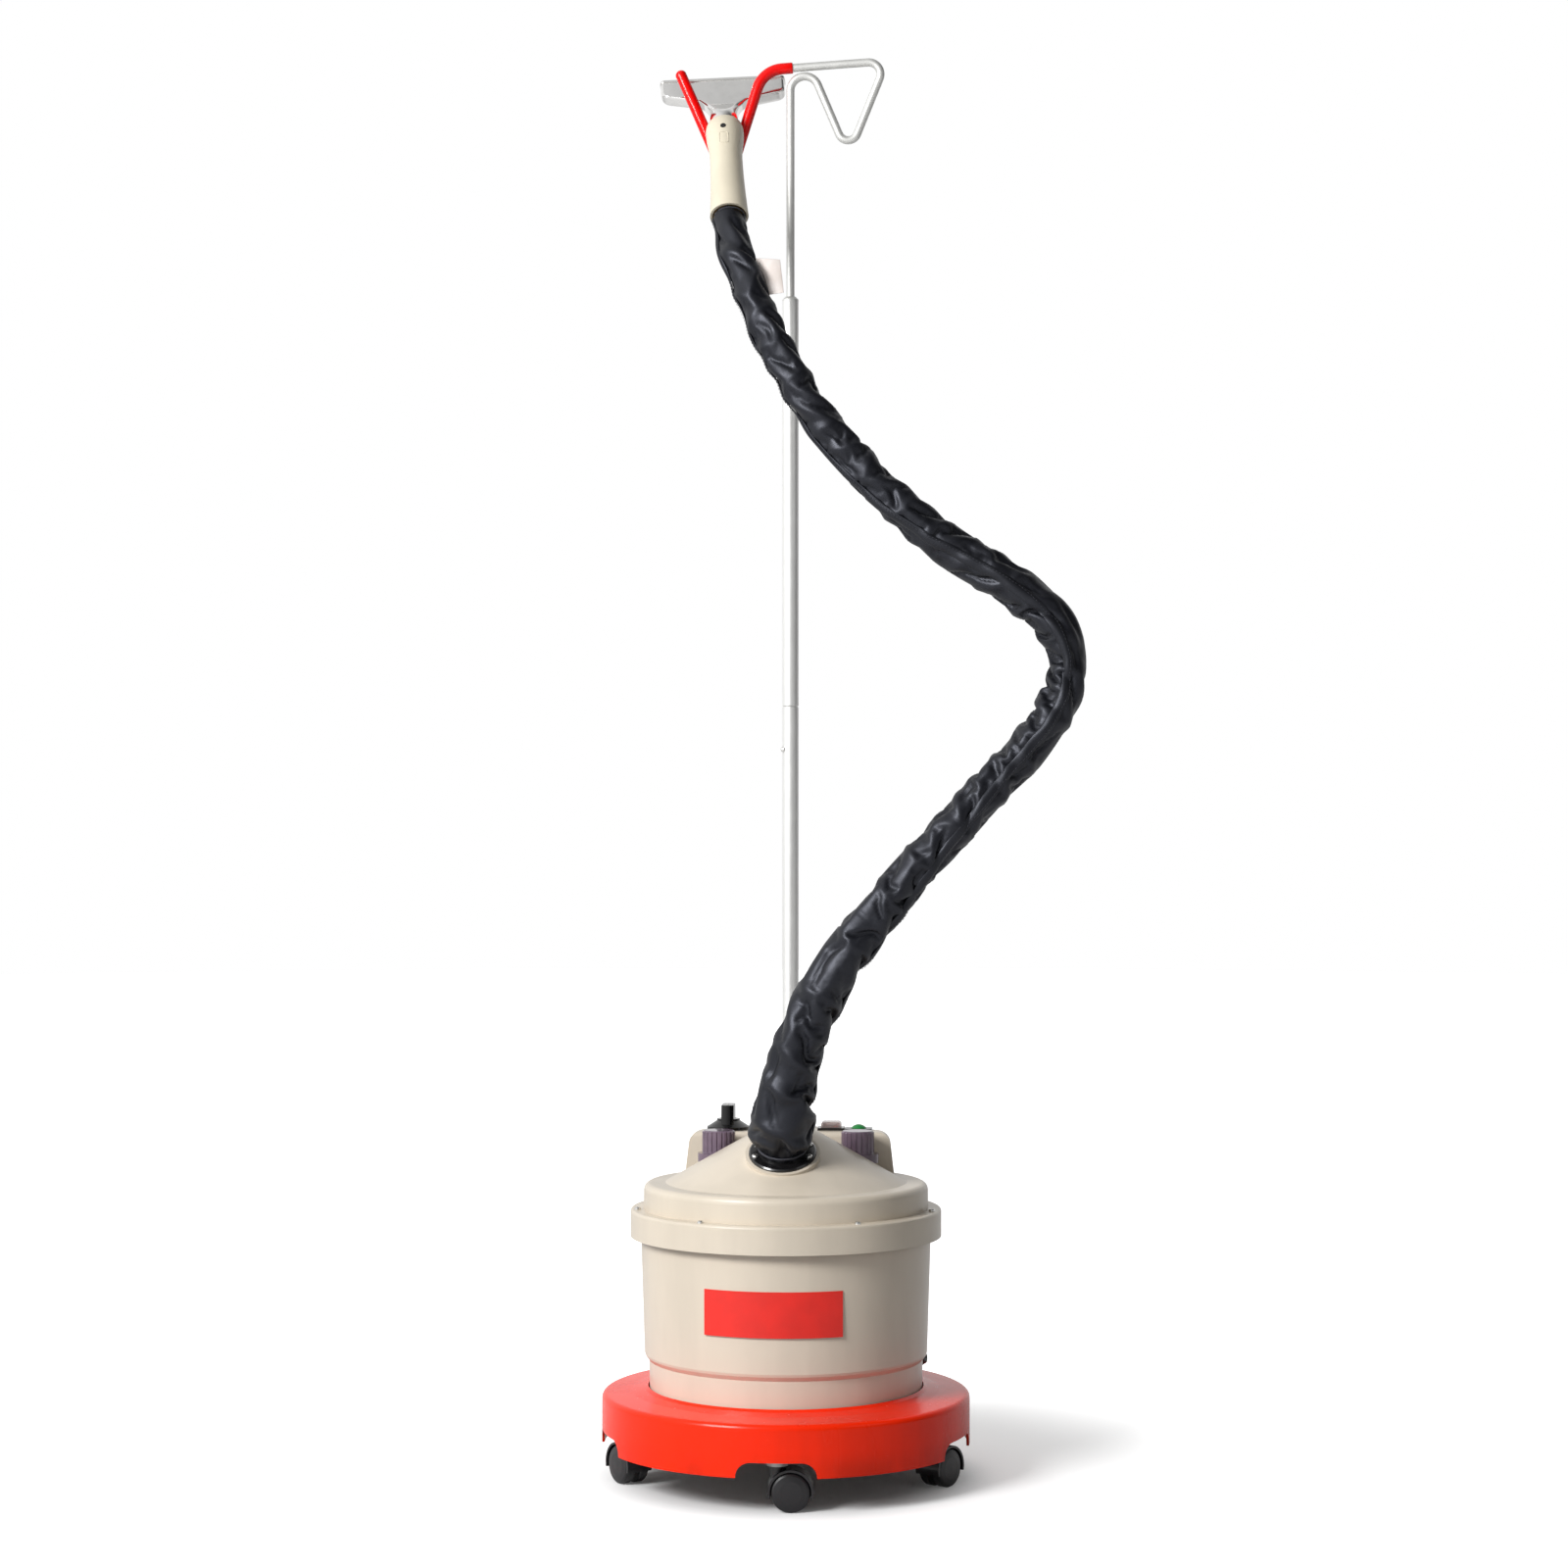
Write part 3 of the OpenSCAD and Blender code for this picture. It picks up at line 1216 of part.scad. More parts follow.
// The label is sewn to the sleeve's side at this place of the route, counted from its end
label_w = 22;
label_h = 40;
label_t = 0.6;
label_place = len(hose_path) - 4;
label_rise = 5;
label_gap = 0.5;
module care_label() {
    t = unit(hose_path[label_place + 1] - hose_path[label_place]);
    side = unit(cross([0, 1, 0], t));
    face = cross(t, side);
    near = hose_path[label_place] + side * (sleeve_radii[label_place] + label_gap);
    color("white") skin([for (k = [-0.5, 0.5]) [for (c = [[0, -0.5], [1, -0.5], [1, 0.5], [0, 0.5]])
        near + t * (k * label_h + label_rise) + side * c[0] * label_w + face * c[1] * label_t]]);
}

// ---------------------------------------------------------------- parts

base_cover();
base_chassis();
castor_sockets();
base_screws();
castor_hood(0);  // castor_hood_1
castor_hood(1);  // castor_hood_2
castor_hood(2);  // castor_hood_3
castor_hood(3);  // castor_hood_4
castor_hood(4);  // castor_hood_5
castor_wheels(0);  // castor_wheels_1
castor_wheels(1);  // castor_wheels_2
castor_wheels(2);  // castor_wheels_3
castor_wheels(3);  // castor_wheels_4
castor_wheels(4);  // castor_wheels_5
bucket();
name_panel();
cord_gland();
heater_flange();
heating_element();
cutout_probe();
level_probe();
lid();
lid_gasket();
collar_screws();
filler_neck();
relief_neck();
filler_seal();
relief_seal();
filler_cap();
relief_cap();
outlet_ring();
outlet_screws();
outlet_pipe();
steam_hose();
hose_sleeve();
care_label();
control_box();
heat_regulator();
heat_dial();
rocker_bezel();
power_rocker();
switch_boot();
lamp_bezel();
lamp_lens();
pole_socket();
lower_tube();
joint_plug();
button_spring();
snap_button();
upper_tube();
rod_bush();
hook_rod();
cradle_sleeve();
handle();
handle_screw();
steam_tube();
hose_coupling();
head_shell();
head_plate();
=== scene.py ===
"""An upright garment steamer: finishes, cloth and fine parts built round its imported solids."""

import json
import logging
import math
from dataclasses import dataclass, field
from enum import Enum
from typing import Any, ClassVar

import bpy
import numpy as np
from mathutils import Matrix, Vector

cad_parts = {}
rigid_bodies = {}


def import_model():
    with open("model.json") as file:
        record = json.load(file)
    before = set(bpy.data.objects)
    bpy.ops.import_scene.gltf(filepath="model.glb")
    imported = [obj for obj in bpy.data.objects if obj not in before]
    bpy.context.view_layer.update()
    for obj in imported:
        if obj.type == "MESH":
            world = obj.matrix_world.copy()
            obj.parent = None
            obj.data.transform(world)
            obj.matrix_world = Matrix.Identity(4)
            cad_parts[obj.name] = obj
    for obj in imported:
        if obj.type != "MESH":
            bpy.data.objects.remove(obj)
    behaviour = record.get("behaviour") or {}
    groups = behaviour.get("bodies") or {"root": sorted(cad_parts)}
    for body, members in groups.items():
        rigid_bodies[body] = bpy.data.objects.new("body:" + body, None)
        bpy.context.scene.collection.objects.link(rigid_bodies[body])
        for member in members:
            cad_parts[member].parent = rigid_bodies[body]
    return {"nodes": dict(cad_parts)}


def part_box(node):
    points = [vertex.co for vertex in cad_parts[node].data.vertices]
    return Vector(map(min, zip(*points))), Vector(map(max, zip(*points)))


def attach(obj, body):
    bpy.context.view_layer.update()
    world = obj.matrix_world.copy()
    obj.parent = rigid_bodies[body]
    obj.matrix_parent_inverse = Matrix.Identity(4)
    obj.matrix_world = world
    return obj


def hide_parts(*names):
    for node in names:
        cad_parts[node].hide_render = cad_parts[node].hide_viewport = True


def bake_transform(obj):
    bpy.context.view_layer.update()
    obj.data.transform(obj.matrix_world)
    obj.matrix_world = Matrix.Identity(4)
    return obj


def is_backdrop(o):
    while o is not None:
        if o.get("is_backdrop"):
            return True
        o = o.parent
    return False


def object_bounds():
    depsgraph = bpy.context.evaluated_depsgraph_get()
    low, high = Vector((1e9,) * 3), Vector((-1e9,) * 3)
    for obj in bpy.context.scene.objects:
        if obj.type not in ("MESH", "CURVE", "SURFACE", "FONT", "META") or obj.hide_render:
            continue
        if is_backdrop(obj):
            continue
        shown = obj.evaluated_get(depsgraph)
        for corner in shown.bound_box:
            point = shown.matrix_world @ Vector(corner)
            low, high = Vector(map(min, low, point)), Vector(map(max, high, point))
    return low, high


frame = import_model()
CAD_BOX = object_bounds()
LOG = logging.getLogger("steamer")
Colour = tuple[float, float, float]
Opaque = tuple[float, float, float, float]
Points = np.ndarray


def mm(*values: float) -> tuple[float, ...]:
    """Millimetres as metres."""
    return tuple(v / 1000 for v in values)


def linear(colour: Colour) -> Opaque:
    """A colour written from 0 to 255 as the linear one that a shader takes.

    Args:
        colour: Red, green and blue, from 0 to 255.

    Returns:
        Linear red, green and blue, and an opaque alpha.
    """
    share = [c / 255 for c in colour]
    return (*[c / 12.92 if c <= 0.04045 else ((c + 0.055) / 1.055) ** 2.4 for c in share], 1.0)


# ---------------------------------------------------------------- node trees


class Wire:
    """An output socket. Arithmetic on it adds Math nodes to its tree."""

    def __init__(self, board: "Board", socket: bpy.types.NodeSocket) -> None:
        """Wraps a socket of the board's tree."""
        self.board, self.socket = board, socket

    def math(self, operation: str, *others: Any, flip: bool = False) -> "Wire":
        """Adds a Math node on this socket.

        Args:
            operation: The Math node's operation.
            others: Further operands, sockets or numbers.
            flip: Puts the first of the others before this socket.

        Returns:
            The node's output.
        """
        operands = [self, *others]
        if flip:
            operands[0], operands[1] = operands[1], operands[0]
        return self.board.node(
            "ShaderNodeMath", {"operation": operation}, dict(enumerate(operands))
        )

    def __add__(self, other: Any) -> "Wire":
        """Sum."""
        return self.math("ADD", other)

    __radd__ = __add__

    def __mul__(self, other: Any) -> "Wire":
        """Product."""
        return self.math("MULTIPLY", other)

    __rmul__ = __mul__

    def __sub__(self, other: Any) -> "Wire":
        """Difference."""
        return self.math("SUBTRACT", other)

    def __rsub__(self, other: Any) -> "Wire":
        """Difference, from the other."""
        return self.math("SUBTRACT", other, flip=True)

    def between(self, low: float, high: float) -> "Wire":
        """A mask that rises smoothly from 0 at low to 1 at high."""
        return self.board.node(
            "ShaderNodeMapRange",
            {"interpolation_type": "SMOOTHSTEP"},
            {"Value": self, "From Min": low, "From Max": high},
        )


class Board:
    """A node tree with one way to add a node."""

    def __init__(self, tree: bpy.types.NodeTree) -> None:
        """Takes the tree and empties it."""
        self.tree = tree
        tree.nodes.clear()

    def node(
        self,
        kind: str,
        settings: dict[str, Any] | None = None,
        sockets: dict[Any, Any] | None = None,
        out: Any = 0,
    ) -> Wire:
        """Adds a node.

        Args:
            kind: The node's type.
            settings: Its properties, set first.
            sockets: Values or wires of its inputs, by name or number.
            out: The output that is returned.

        Returns:
            That output, or a wire without a socket where the node has none.
        """
        made = self.tree.nodes.new(kind)
        for key, value in (settings or {}).items():
            setattr(made, key, value)
        for key, value in (sockets or {}).items():
            if isinstance(value, Wire):
                self.tree.links.new(value.socket, made.inputs[key])
            else:
                made.inputs[key].default_value = value
        return Wire(self, made.outputs[out] if len(made.outputs) else None)

    def place(self, scale: tuple[float, float, float] = (1, 1, 1)) -> Wire:
        """Object coordinates in metres, stretched by a scale."""
        coords = self.node("ShaderNodeTexCoord", out="Object")
        return self.node("ShaderNodeMapping", {}, {"Vector": coords, "Scale": scale})

    def noise(self, at: Wire, scale: float, detail: float = 3, rough: float = 0.55) -> Wire:
        """Noise about 0.5 at a place, with this many lumps to the metre."""
        return self.node(
            "ShaderNodeTexNoise",
            {},
            {"Vector": at, "Scale": scale, "Detail": detail, "Roughness": rough},
        )

    def blend(self, first: Any, second: Any, share: Any) -> Wire:
        """A colour between two colours."""
        return self.node(
            "ShaderNodeMix", {"data_type": "RGBA"}, {0: share, 6: first, 7: second}, out=2
        )

    def bump(self, height: Wire, depth: float) -> Wire:
        """A normal from a height of 0 to 1 that stands for depth metres."""
        return self.node(
            "ShaderNodeBump", {}, {"Height": height, "Distance": depth, "Strength": 1.0}
        )

    def ray(self, kind: str) -> Wire:
        """1 for rays of a kind, such as Camera, and 0 for the others."""
        return self.node("ShaderNodeLightPath", {}, {}, f"Is {kind} Ray")

    def part(self, of: Wire, name: str) -> Wire:
        """One of the X, Y and Z of a vector."""
        return self.node("ShaderNodeSeparateXYZ", {}, {0: of}, name)

    def grey(self, value: Wire) -> Wire:
        """A value as a grey colour."""
        return self.node("ShaderNodeCombineColor", {}, {0: value, 1: value, 2: value})

    def surface(self, **sockets: Any) -> None:
        """Ends a material in a Principled shader. Socket names have _ for a space."""
        named = {key.replace("_", " "): value for key, value in sockets.items()}
        shader = self.node("ShaderNodeBsdfPrincipled", {}, named)
        self.node("ShaderNodeOutputMaterial", {}, {"Surface": shader})


# ---------------------------------------------------------------- finishes


@dataclass(frozen=True)
class Finish:
    """What a surface is made of. A finish makes its material once."""

    name: str
    colour: Colour
    roughness: float = 0.4
    made: ClassVar[dict[str, bpy.types.Material]] = {}

    def material(self) -> bpy.types.Material:
        """The finish's material, made on first use."""
        if self.name not in Finish.made:
            material = bpy.data.materials.new(self.name)
            material.use_nodes = True
            material.diffuse_color = linear(self.colour)
            self.paint(Board(material.node_tree))
            Finish.made[self.name] = material
        return Finish.made[self.name]

    def tone(self, share: float = 1.0, lift: float = 0.0) -> Opaque:
        """The finish's colour times a share, lifted towards white by 0 to 255."""
        return linear(tuple(min(255, c * share + lift) for c in self.colour))

    def paint(self, board: Board) -> None:
        """Builds the shader."""
        raise NotImplementedError


@dataclass(frozen=True)
class MouldedPlastic(Finish):
    """Injection-moulded plastic with a fine grain, faint flow marks and handling wear."""

    grain: float = 2600.0
    depth: float = 0.00002
    mottling: float = 0.06
    coat: float = 0.0
    scuffs: float = 0.25
    shine: float = 0.5
    foot: float | None = None

    def paint(self, board: Board) -> None:
        """Builds the shader."""
        place = board.place()
        flow = board.noise(board.place((1, 1, 0.25)), 14, 4)
        shade = board.blend(
            self.tone(), self.tone(1 - 2.2 * self.mottling), flow.between(0.35, 0.75)
        )
        marks = board.noise(board.place((1, 1, 5)), 90, 5, 0.7).between(0.62, 0.78)
        dust = board.noise(place, 420, 2).between(0.66, 0.74)
        shade = board.blend(shade, self.tone(0.8, 45), dust * (0.35 * self.scuffs))
        # Darker towards the bottom: the colour darkens in noisy patches below the foot height
        # plus 3 cm.
        if self.foot is not None:
            above_low_band = board.part(place, "Z").between(self.foot, self.foot + 0.03)
            darker_low = (1 - above_low_band) * flow.between(0.3, 0.7)
            shade = board.blend(shade, self.tone(0.62), darker_low * 0.5)
        grain = board.noise(place, self.grain, 2)
        waves = board.noise(place, 26, 2)
        normal = board.bump(grain + waves * 6.0, self.depth)
        board.surface(
            Base_Color=shade,
            Roughness=marks * (0.30 * self.scuffs) + flow * 0.10 + (self.roughness - 0.05),
            Specular_IOR_Level=self.shine,
            Coat_Weight=self.coat,
            Coat_Roughness=0.12,
            Normal=normal,
        )


@dataclass(frozen=True)
class TubeMetal(Finish):
    """Drawn aluminium tube or rod with fine lines along it and dull spots."""

    along: tuple[float, float, float] = (1, 1, 0.02)
    lines: float = 2400.0
    depth: float = 0.00001
    smudge: float = 0.18
    metal: float = 1.0

    def paint(self, board: Board) -> None:
        """Builds the shader."""
        drawn = board.noise(board.place(self.along), self.lines, 2)
        smudges = board.noise(board.place(), 60, 4).between(0.45, 0.75)
        shade = board.blend(self.tone(), self.tone(0.86), drawn)
        board.surface(
            Base_Color=shade,
            Metallic=self.metal,
            Roughness=drawn * 0.12 + smudges * self.smudge + (self.roughness - 0.08),
            Normal=board.bump(drawn, self.depth),
        )


@dataclass(frozen=True)
class PolishedMetal(Finish):
    """Buffed cast or turned metal with faint buffing marks and finger smudges."""

    marks: float = 0.10
    depth: float = 0.00004

    def paint(self, board: Board) -> None:
        """Builds the shader."""
        place = board.place()
        buffing = board.noise(board.place((0.3, 1, 4)), 520, 3)
        smudges = board.noise(place, 48, 5, 0.65).between(0.42, 0.72)
        ripple = board.noise(place, 34, 1)
        shade = board.blend(self.tone(), self.tone(0.82), smudges * 0.2)
        board.surface(
            Base_Color=shade,
            Metallic=1.0,
            Roughness=buffing * 0.07 + smudges * self.marks + (self.roughness - 0.03),
            Normal=board.bump(buffing * 0.12 + ripple * 3.0, self.depth),
        )


@dataclass(frozen=True)
class DippedVinyl(Finish):
    """Soft vinyl that the rod was dipped in: thick, glossy and a little uneven."""

    def paint(self, board: Board) -> None:
        """Builds the shader."""
        place = board.place()
        runs = board.noise(place, 70, 3)
        pores = board.noise(place, 900, 2)
        shade = board.blend(self.tone(), self.tone(0.82), runs)
        board.surface(
            Base_Color=shade,
            Roughness=runs * 0.14 + (self.roughness - 0.07),
            Specular_IOR_Level=0.2,
            Coat_Weight=0.2,
            Coat_Roughness=0.05,
            Normal=board.bump(runs * 4.0 + pores * 0.3, 0.00006),
        )


@dataclass(frozen=True)
class WovenCloth(Finish):
    """Tightly woven cloth. The weave follows the cut cloth's own UV map, in metres."""

    pitch: float = 0.0007
    weave_depth: float = 0.00010
    sheen: float = 0.25
    lint: float = 0.5
    gaps: float = 0.6
    cut: bool = True

    def paint(self, board: Board) -> None:
        """Builds the shader."""
        cloth = board.node("ShaderNodeUVMap", {"uv_map": "cut"}) if self.cut else board.place()
        waves = {"Vector": cloth, "Scale": 0.314 / self.pitch, "Distortion": 0.6, "Detail": 1.0}
        across, along = (
            board.node("ShaderNodeTexWave", {"bands_direction": way}, waves, out=1)
            for way in "XY"
        )
        threads = across.math("MAXIMUM", along)
        worn = board.noise(board.place(), 45, 4).between(0.35, 0.75)
        fluff = board.noise(board.place(), 700, 3).between(0.70, 0.78)
        shade = board.blend(self.tone(), self.tone(1.3, 3), worn * 0.6)
        shade = board.blend(shade, self.tone(self.gaps), 1 - threads)
        shade = board.blend(shade, linear((150, 150, 155)), fluff * (0.22 * self.lint))
        board.surface(
            Base_Color=shade,
            Roughness=worn * 0.12 + threads * 0.06 + (self.roughness - 0.09),
            Sheen_Weight=self.sheen,
            Sheen_Roughness=0.4,
            Specular_IOR_Level=0.42,
            Specular_Tint=(0.84, 0.87, 1.0, 1),
            Normal=board.bump(threads, self.weave_depth),
        )


@dataclass(frozen=True)
class SeeThrough(Finish):
    """Clear or smoky plastic."""

    clearness: float = 0.8
    ior: float = 1.46
    haze: float = 0.1

    def paint(self, board: Board) -> None:
        """Builds the shader."""
        place = board.place()
        cloud = board.noise(place, 60, 3)
        scratches = board.noise(board.place((1, 1, 0.1)), 900, 3, 0.7).between(0.6, 0.8)
        shade = board.blend(self.tone(), self.tone(0.72), cloud)
        board.surface(
            Base_Color=shade,
            Roughness=cloud * self.haze + scratches * 0.10 + self.roughness,
            IOR=self.ior,
            Transmission_Weight=self.clearness,
            Normal=board.bump(cloud, 0.00008),
        )


@dataclass(frozen=True)
class Gloss(Finish):
    """Smooth glossy plastic or lacquer with fine dust on it."""

    coat: float = 0.3
    speckle: float = 0.3
    ripple: float = 0.00002

    def paint(self, board: Board) -> None:
        """Builds the shader."""
        place = board.place()
        dust = board.noise(place, 900, 3).between(0.66, 0.76)
        cloud = board.noise(place, 30, 3)
        shade = board.blend(self.tone(), self.tone(0.85), cloud)
        shade = board.blend(shade, linear((170, 165, 160)), dust * (0.2 * self.speckle))
        board.surface(
            Base_Color=shade,
            Roughness=cloud * 0.08 + dust * 0.25 + (self.roughness - 0.04),
            Coat_Weight=self.coat,
            Coat_Roughness=0.08,
            Normal=board.bump(cloud, self.ripple),
        )


class Looks(Enum):
    """The object's finishes."""

    CASE = MouldedPlastic("case_beige", (211, 200, 183), 0.34, coat=0.10, mottling=0.02)
    HANDLE = MouldedPlastic("handle_beige", (214, 205, 184), 0.40, coat=0.06, mottling=0.025)
    COVER = MouldedPlastic(
        "cover_red", (254, 42, 0), 0.26, coat=0.10, mottling=0.03, scuffs=0.12, shine=0.16,
        foot=0.041,
    )
    CASTOR = MouldedPlastic(
        "castor_black", (27, 25, 28), 0.34, grain=1500, mottling=0.1, coat=0.15, scuffs=0.7
    )
    TREAD = MouldedPlastic("wheel_black", (23, 22, 25), 0.38, mottling=0.1, coat=0.1, scuffs=0.9)
    RUBBER = MouldedPlastic("rubber_black", (22, 21, 22), 0.6, grain=900, mottling=0.1)
    NECK = MouldedPlastic("neck_white", (206, 200, 192), 0.4)
    STEEL_PLATE = TubeMetal("chassis_zinc", (168, 168, 166), 0.45, along=(1, 0.05, 1))
    TUBE = TubeMetal(
        "tube_aluminium", (240, 240, 238), 0.44, smudge=0.06, depth=0.000002, metal=0.6
    )
    ROD = TubeMetal(
        "rod_aluminium", (226, 226, 223), 0.54, along=(1, 1, 1), lines=60, smudge=0.04,
        depth=0.0, metal=0.7,
    )
    CHROME = PolishedMetal("head_polished", (236, 235, 233), 0.10, marks=0.05, depth=0.000004)
    SCREW = PolishedMetal("screw_steel", (214, 213, 210), 0.2, marks=0.2)
    STAINLESS = PolishedMetal("inner_steel", (186, 184, 180), 0.28, marks=0.2)
    SPRING = PolishedMetal("spring_steel", (170, 166, 158), 0.3)
    BRASS = PolishedMetal("fitting_brass", (201, 164, 92), 0.26, marks=0.2)
    DIP = DippedVinyl("cradle_vinyl", (250, 4, 2), 0.24)
    NYLON = WovenCloth("sleeve_nylon", (9, 10, 15), 0.45, weave_depth=0.00002, sheen=0.0)
    TAPE = WovenCloth(
        "flap_nylon", (10, 11, 15), 0.45, pitch=0.0009, weave_depth=0.00003, sheen=0.0
    )
    THREAD = WovenCloth(
        "sewing_thread", (58, 58, 64), 0.6, pitch=0.0004, lint=0.0, sheen=0.05, cut=False
    )
    LABEL = WovenCloth(
        "label_satin", (238, 226, 218), 0.5, pitch=0.0005, sheen=0.1, lint=0.0, gaps=0.94
    )
    SMOKE = SeeThrough("cap_smoke", (150, 128, 148), 0.05, clearness=0.3, haze=0.03)
    BOOT = SeeThrough("boot_clear", (244, 230, 228), 0.08, clearness=0.8, ior=1.4)
    LENS = SeeThrough("lens_green", (30, 170, 76), 0.08, clearness=0.3)
    BLACK = Gloss("fitting_black", (20, 19, 20), 0.24)
    DIAL = Gloss("dial_black", (6, 6, 7), 0.14, coat=0.1)
    ROCKER = Gloss("rocker_red", (150, 26, 20), 0.3)
    PANEL = Gloss("panel_red", (240, 30, 14), 0.34, coat=0.08, speckle=0.05)
    WHITE = Gloss("mark_white", (232, 230, 224), 0.4, coat=0.0, speckle=0.1)

    def material(self) -> bpy.types.Material:
        """The finish's material."""
        return self.value.material()


# ---------------------------------------------------------------- meshes


def placed(name: str, mesh: bpy.types.Mesh, body: str) -> bpy.types.Object:
    """Makes a piece of a mesh that has its place in its points.

    Args:
        name: The piece's name.
        mesh: Its mesh.
        body: The CAD body that it rides on, or nothing for a piece hung between two.

    Returns:
        The object.
    """
    mesh.name = name
    made = bpy.data.objects.new(name, mesh)
    bpy.context.scene.collection.objects.link(made)
    if body:
        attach(made, body)
    LOG.info("piece %s: %d faces, on %s", name, len(mesh.polygons), body or "two bodies")
    return made


def drawn(source: bpy.types.Object) -> bpy.types.Mesh:
    """The plain mesh that a curve or a modifier makes. Its source object is removed."""
    bpy.context.scene.collection.objects.link(source)
    depsgraph = bpy.context.evaluated_depsgraph_get()
    mesh = bpy.data.meshes.new_from_object(source.evaluated_get(depsgraph), depsgraph=depsgraph)
    source.modifiers.clear()
    bpy.data.objects.remove(source)
    return mesh


def piece(
    name: str, points: Points, faces: list[tuple[int, ...]], look: Looks, body: str
) -> bpy.types.Object:
    """Makes a smooth mesh piece.

    Args:
        name: The piece's name.
        points: Its vertices in metres.
        faces: Corners of each face, counter-clockwise from outside.
        look: Its finish.
        body: The CAD body that it rides on, or nothing for a piece hung between two.

    Returns:
        The object.
    """
    mesh = bpy.data.meshes.new(name)
    mesh.from_pydata(np.asarray(points).reshape(-1, 3).tolist(), [], faces)
    mesh.materials.append(look.material())
    mesh.shade_smooth()
    mesh.update()
    return placed(name, mesh, body)


def finish_cloth(
    cloth: bpy.types.Object, columns: int, pitch: tuple[float, float], sheet: tuple[float, float]
) -> None:
    """Gives a grid of cloth its cut as a UV map in metres, and its thickness.

    Args:
        cloth: A piece of four-cornered faces.
        columns: Points in a row of the grid.
        pitch: The cut's width from column to column, and its length from row to row.
        sheet: Its thickness, and the side of the grid that it lies on. No thickness leaves
            the cloth as it is.
    """
    corner = np.zeros(len(cloth.data.loops), int)
    cloth.data.loops.foreach_get("vertex_index", corner)
    row, column = corner // columns, corner % columns
    first = np.repeat(column.reshape(-1, 4)[:, 0], 4)
    column = np.where((column == 0) & (first == columns - 1), columns, column)
    uv = cloth.data.uv_layers.new(name="cut")
    uv.data.foreach_set("uv", np.c_[column * pitch[0], row * pitch[1]].ravel())
    if sheet[0]:
        solid = cloth.modifiers.new("thickness", "SOLIDIFY")
        solid.thickness, solid.offset = sheet
        threads = cloth.modifiers.new("threads", "SUBSURF")
        threads.levels = threads.render_levels = 1


def grid_faces(rows: int, columns: int, closed: bool = True) -> list[tuple[int, ...]]:
    """Quads over a grid of points.

    Args:
        rows: How many rows of points there are.
        columns: How many points are in a row.
        closed: The last column joins the first.

    Returns:
        The corners of each quad.
    """
    last = columns if closed else columns - 1
    return [
        (i * columns + k, i * columns + (k + 1) % columns,
         (i + 1) * columns + (k + 1) % columns, (i + 1) * columns + k)
        for i in range(rows - 1)
        for k in range(last)
    ]


def unit(vector: Any) -> Points:
    """A vector of length 1, or a row of them."""
    vector = np.asarray(vector, float)
    return vector / np.linalg.norm(vector, axis=-1, keepdims=True)


def eased(share: Any) -> Any:
    """0 to 1 with a smooth start and end."""
    share = np.clip(share, 0.0, 1.0)
    return share * share * (3 - 2 * share)


def corner_arcs(half: tuple[float, float], radius: float, steps: int) -> list[Points]:
    """The corners of a rounded rectangle about the origin, counter-clockwise.

    Args:
        half: Half its width and half its height.
        radius: The corners' radius.
        steps: Points in a corner.

    Returns:
        The points of each of the four corners.
    """
    arcs = []
    for k, (flip, lift) in enumerate([(1, 1), (-1, 1), (-1, -1), (1, -1)]):
        arc = math.pi / 2 * (k + np.linspace(0, 1, steps))
        centre = np.array([flip * (half[0] - radius), lift * (half[1] - radius)])
        arcs.append(centre + radius * np.c_[np.cos(arc), np.sin(arc)])
    return arcs


class GrowthTree(Board):
    """A Geometry Nodes tree with named inputs, whose result becomes a plain mesh."""

    def __init__(self, name: str, sizes: dict[str, float | int]) -> None:
        """Starts the tree.

        Args:
            name: The tree's name.
            sizes: Its named inputs and their values.
        """
        super().__init__(bpy.data.node_groups.new(name, "GeometryNodeTree"))
        sockets = self.tree.interface
        source = sockets.new_socket("Geometry", in_out="INPUT", socket_type="NodeSocketGeometry")
        self.identifiers = {"Geometry": source.identifier}
        self.sizes = sizes
        for key, value in sizes.items():
            kind = "NodeSocketInt" if isinstance(value, int) else "NodeSocketFloat"
            made = sockets.new_socket(key, in_out="INPUT", socket_type=kind)
            self.identifiers[key] = made.identifier
        sockets.new_socket("Geometry", in_out="OUTPUT", socket_type="NodeSocketGeometry")
        self.entry = self.tree.nodes.new("NodeGroupInput")

    def given(self, name: str) -> Wire:
        """A named input of the tree."""
        return Wire(self, self.entry.outputs[name])

    def finish(self, geometry: Wire, look: Looks) -> None:
        """Realizes, shades and dresses the result, and ends the tree."""
        real = self.node("GeometryNodeRealizeInstances", {}, {0: geometry})
        shaded = self.node(
            "GeometryNodeSetShadeSmooth", {}, {"Geometry": real, "Shade Smooth": True}
        )
        dressed = self.node(
            "GeometryNodeSetMaterial", {}, {"Geometry": shaded, "Material": look.material()}
        )
        self.node("NodeGroupOutput", {}, {"Geometry": dressed})

    def grow(self, name: str, line: Points, body: str, closed: bool = False) -> bpy.types.Object:
        """Runs the tree on a line of points and keeps the result as a plain mesh.

        Args:
            name: The piece's name.
            line: Points in metres, each joined to the next. A fourth column is their girth.
            body: The CAD body that the piece rides on.
            closed: The last point joins the first.

        Returns:
            The piece.
        """
        line = np.asarray(line, float)
        count = len(line)
        edges = [(i, i + 1) for i in range(count - 1)] + ([(count - 1, 0)] if closed else [])
        seeds = bpy.data.meshes.new(name + "_line")
        seeds.from_pydata(line[:, :3].tolist(), edges, [])
        if line.shape[1] > 3:
            girth = seeds.attributes.new("girth", "FLOAT", "POINT")
            girth.data.foreach_set("value", line[:, 3].astype(np.float32))
        seed = bpy.data.objects.new(name + "_line", seeds)
        modifier = seed.modifiers.new("growth", "NODES")
        modifier.node_group = self.tree
        for key, value in self.sizes.items():
            modifier[self.identifiers[key]] = value
        return placed(name, drawn(seed), body)


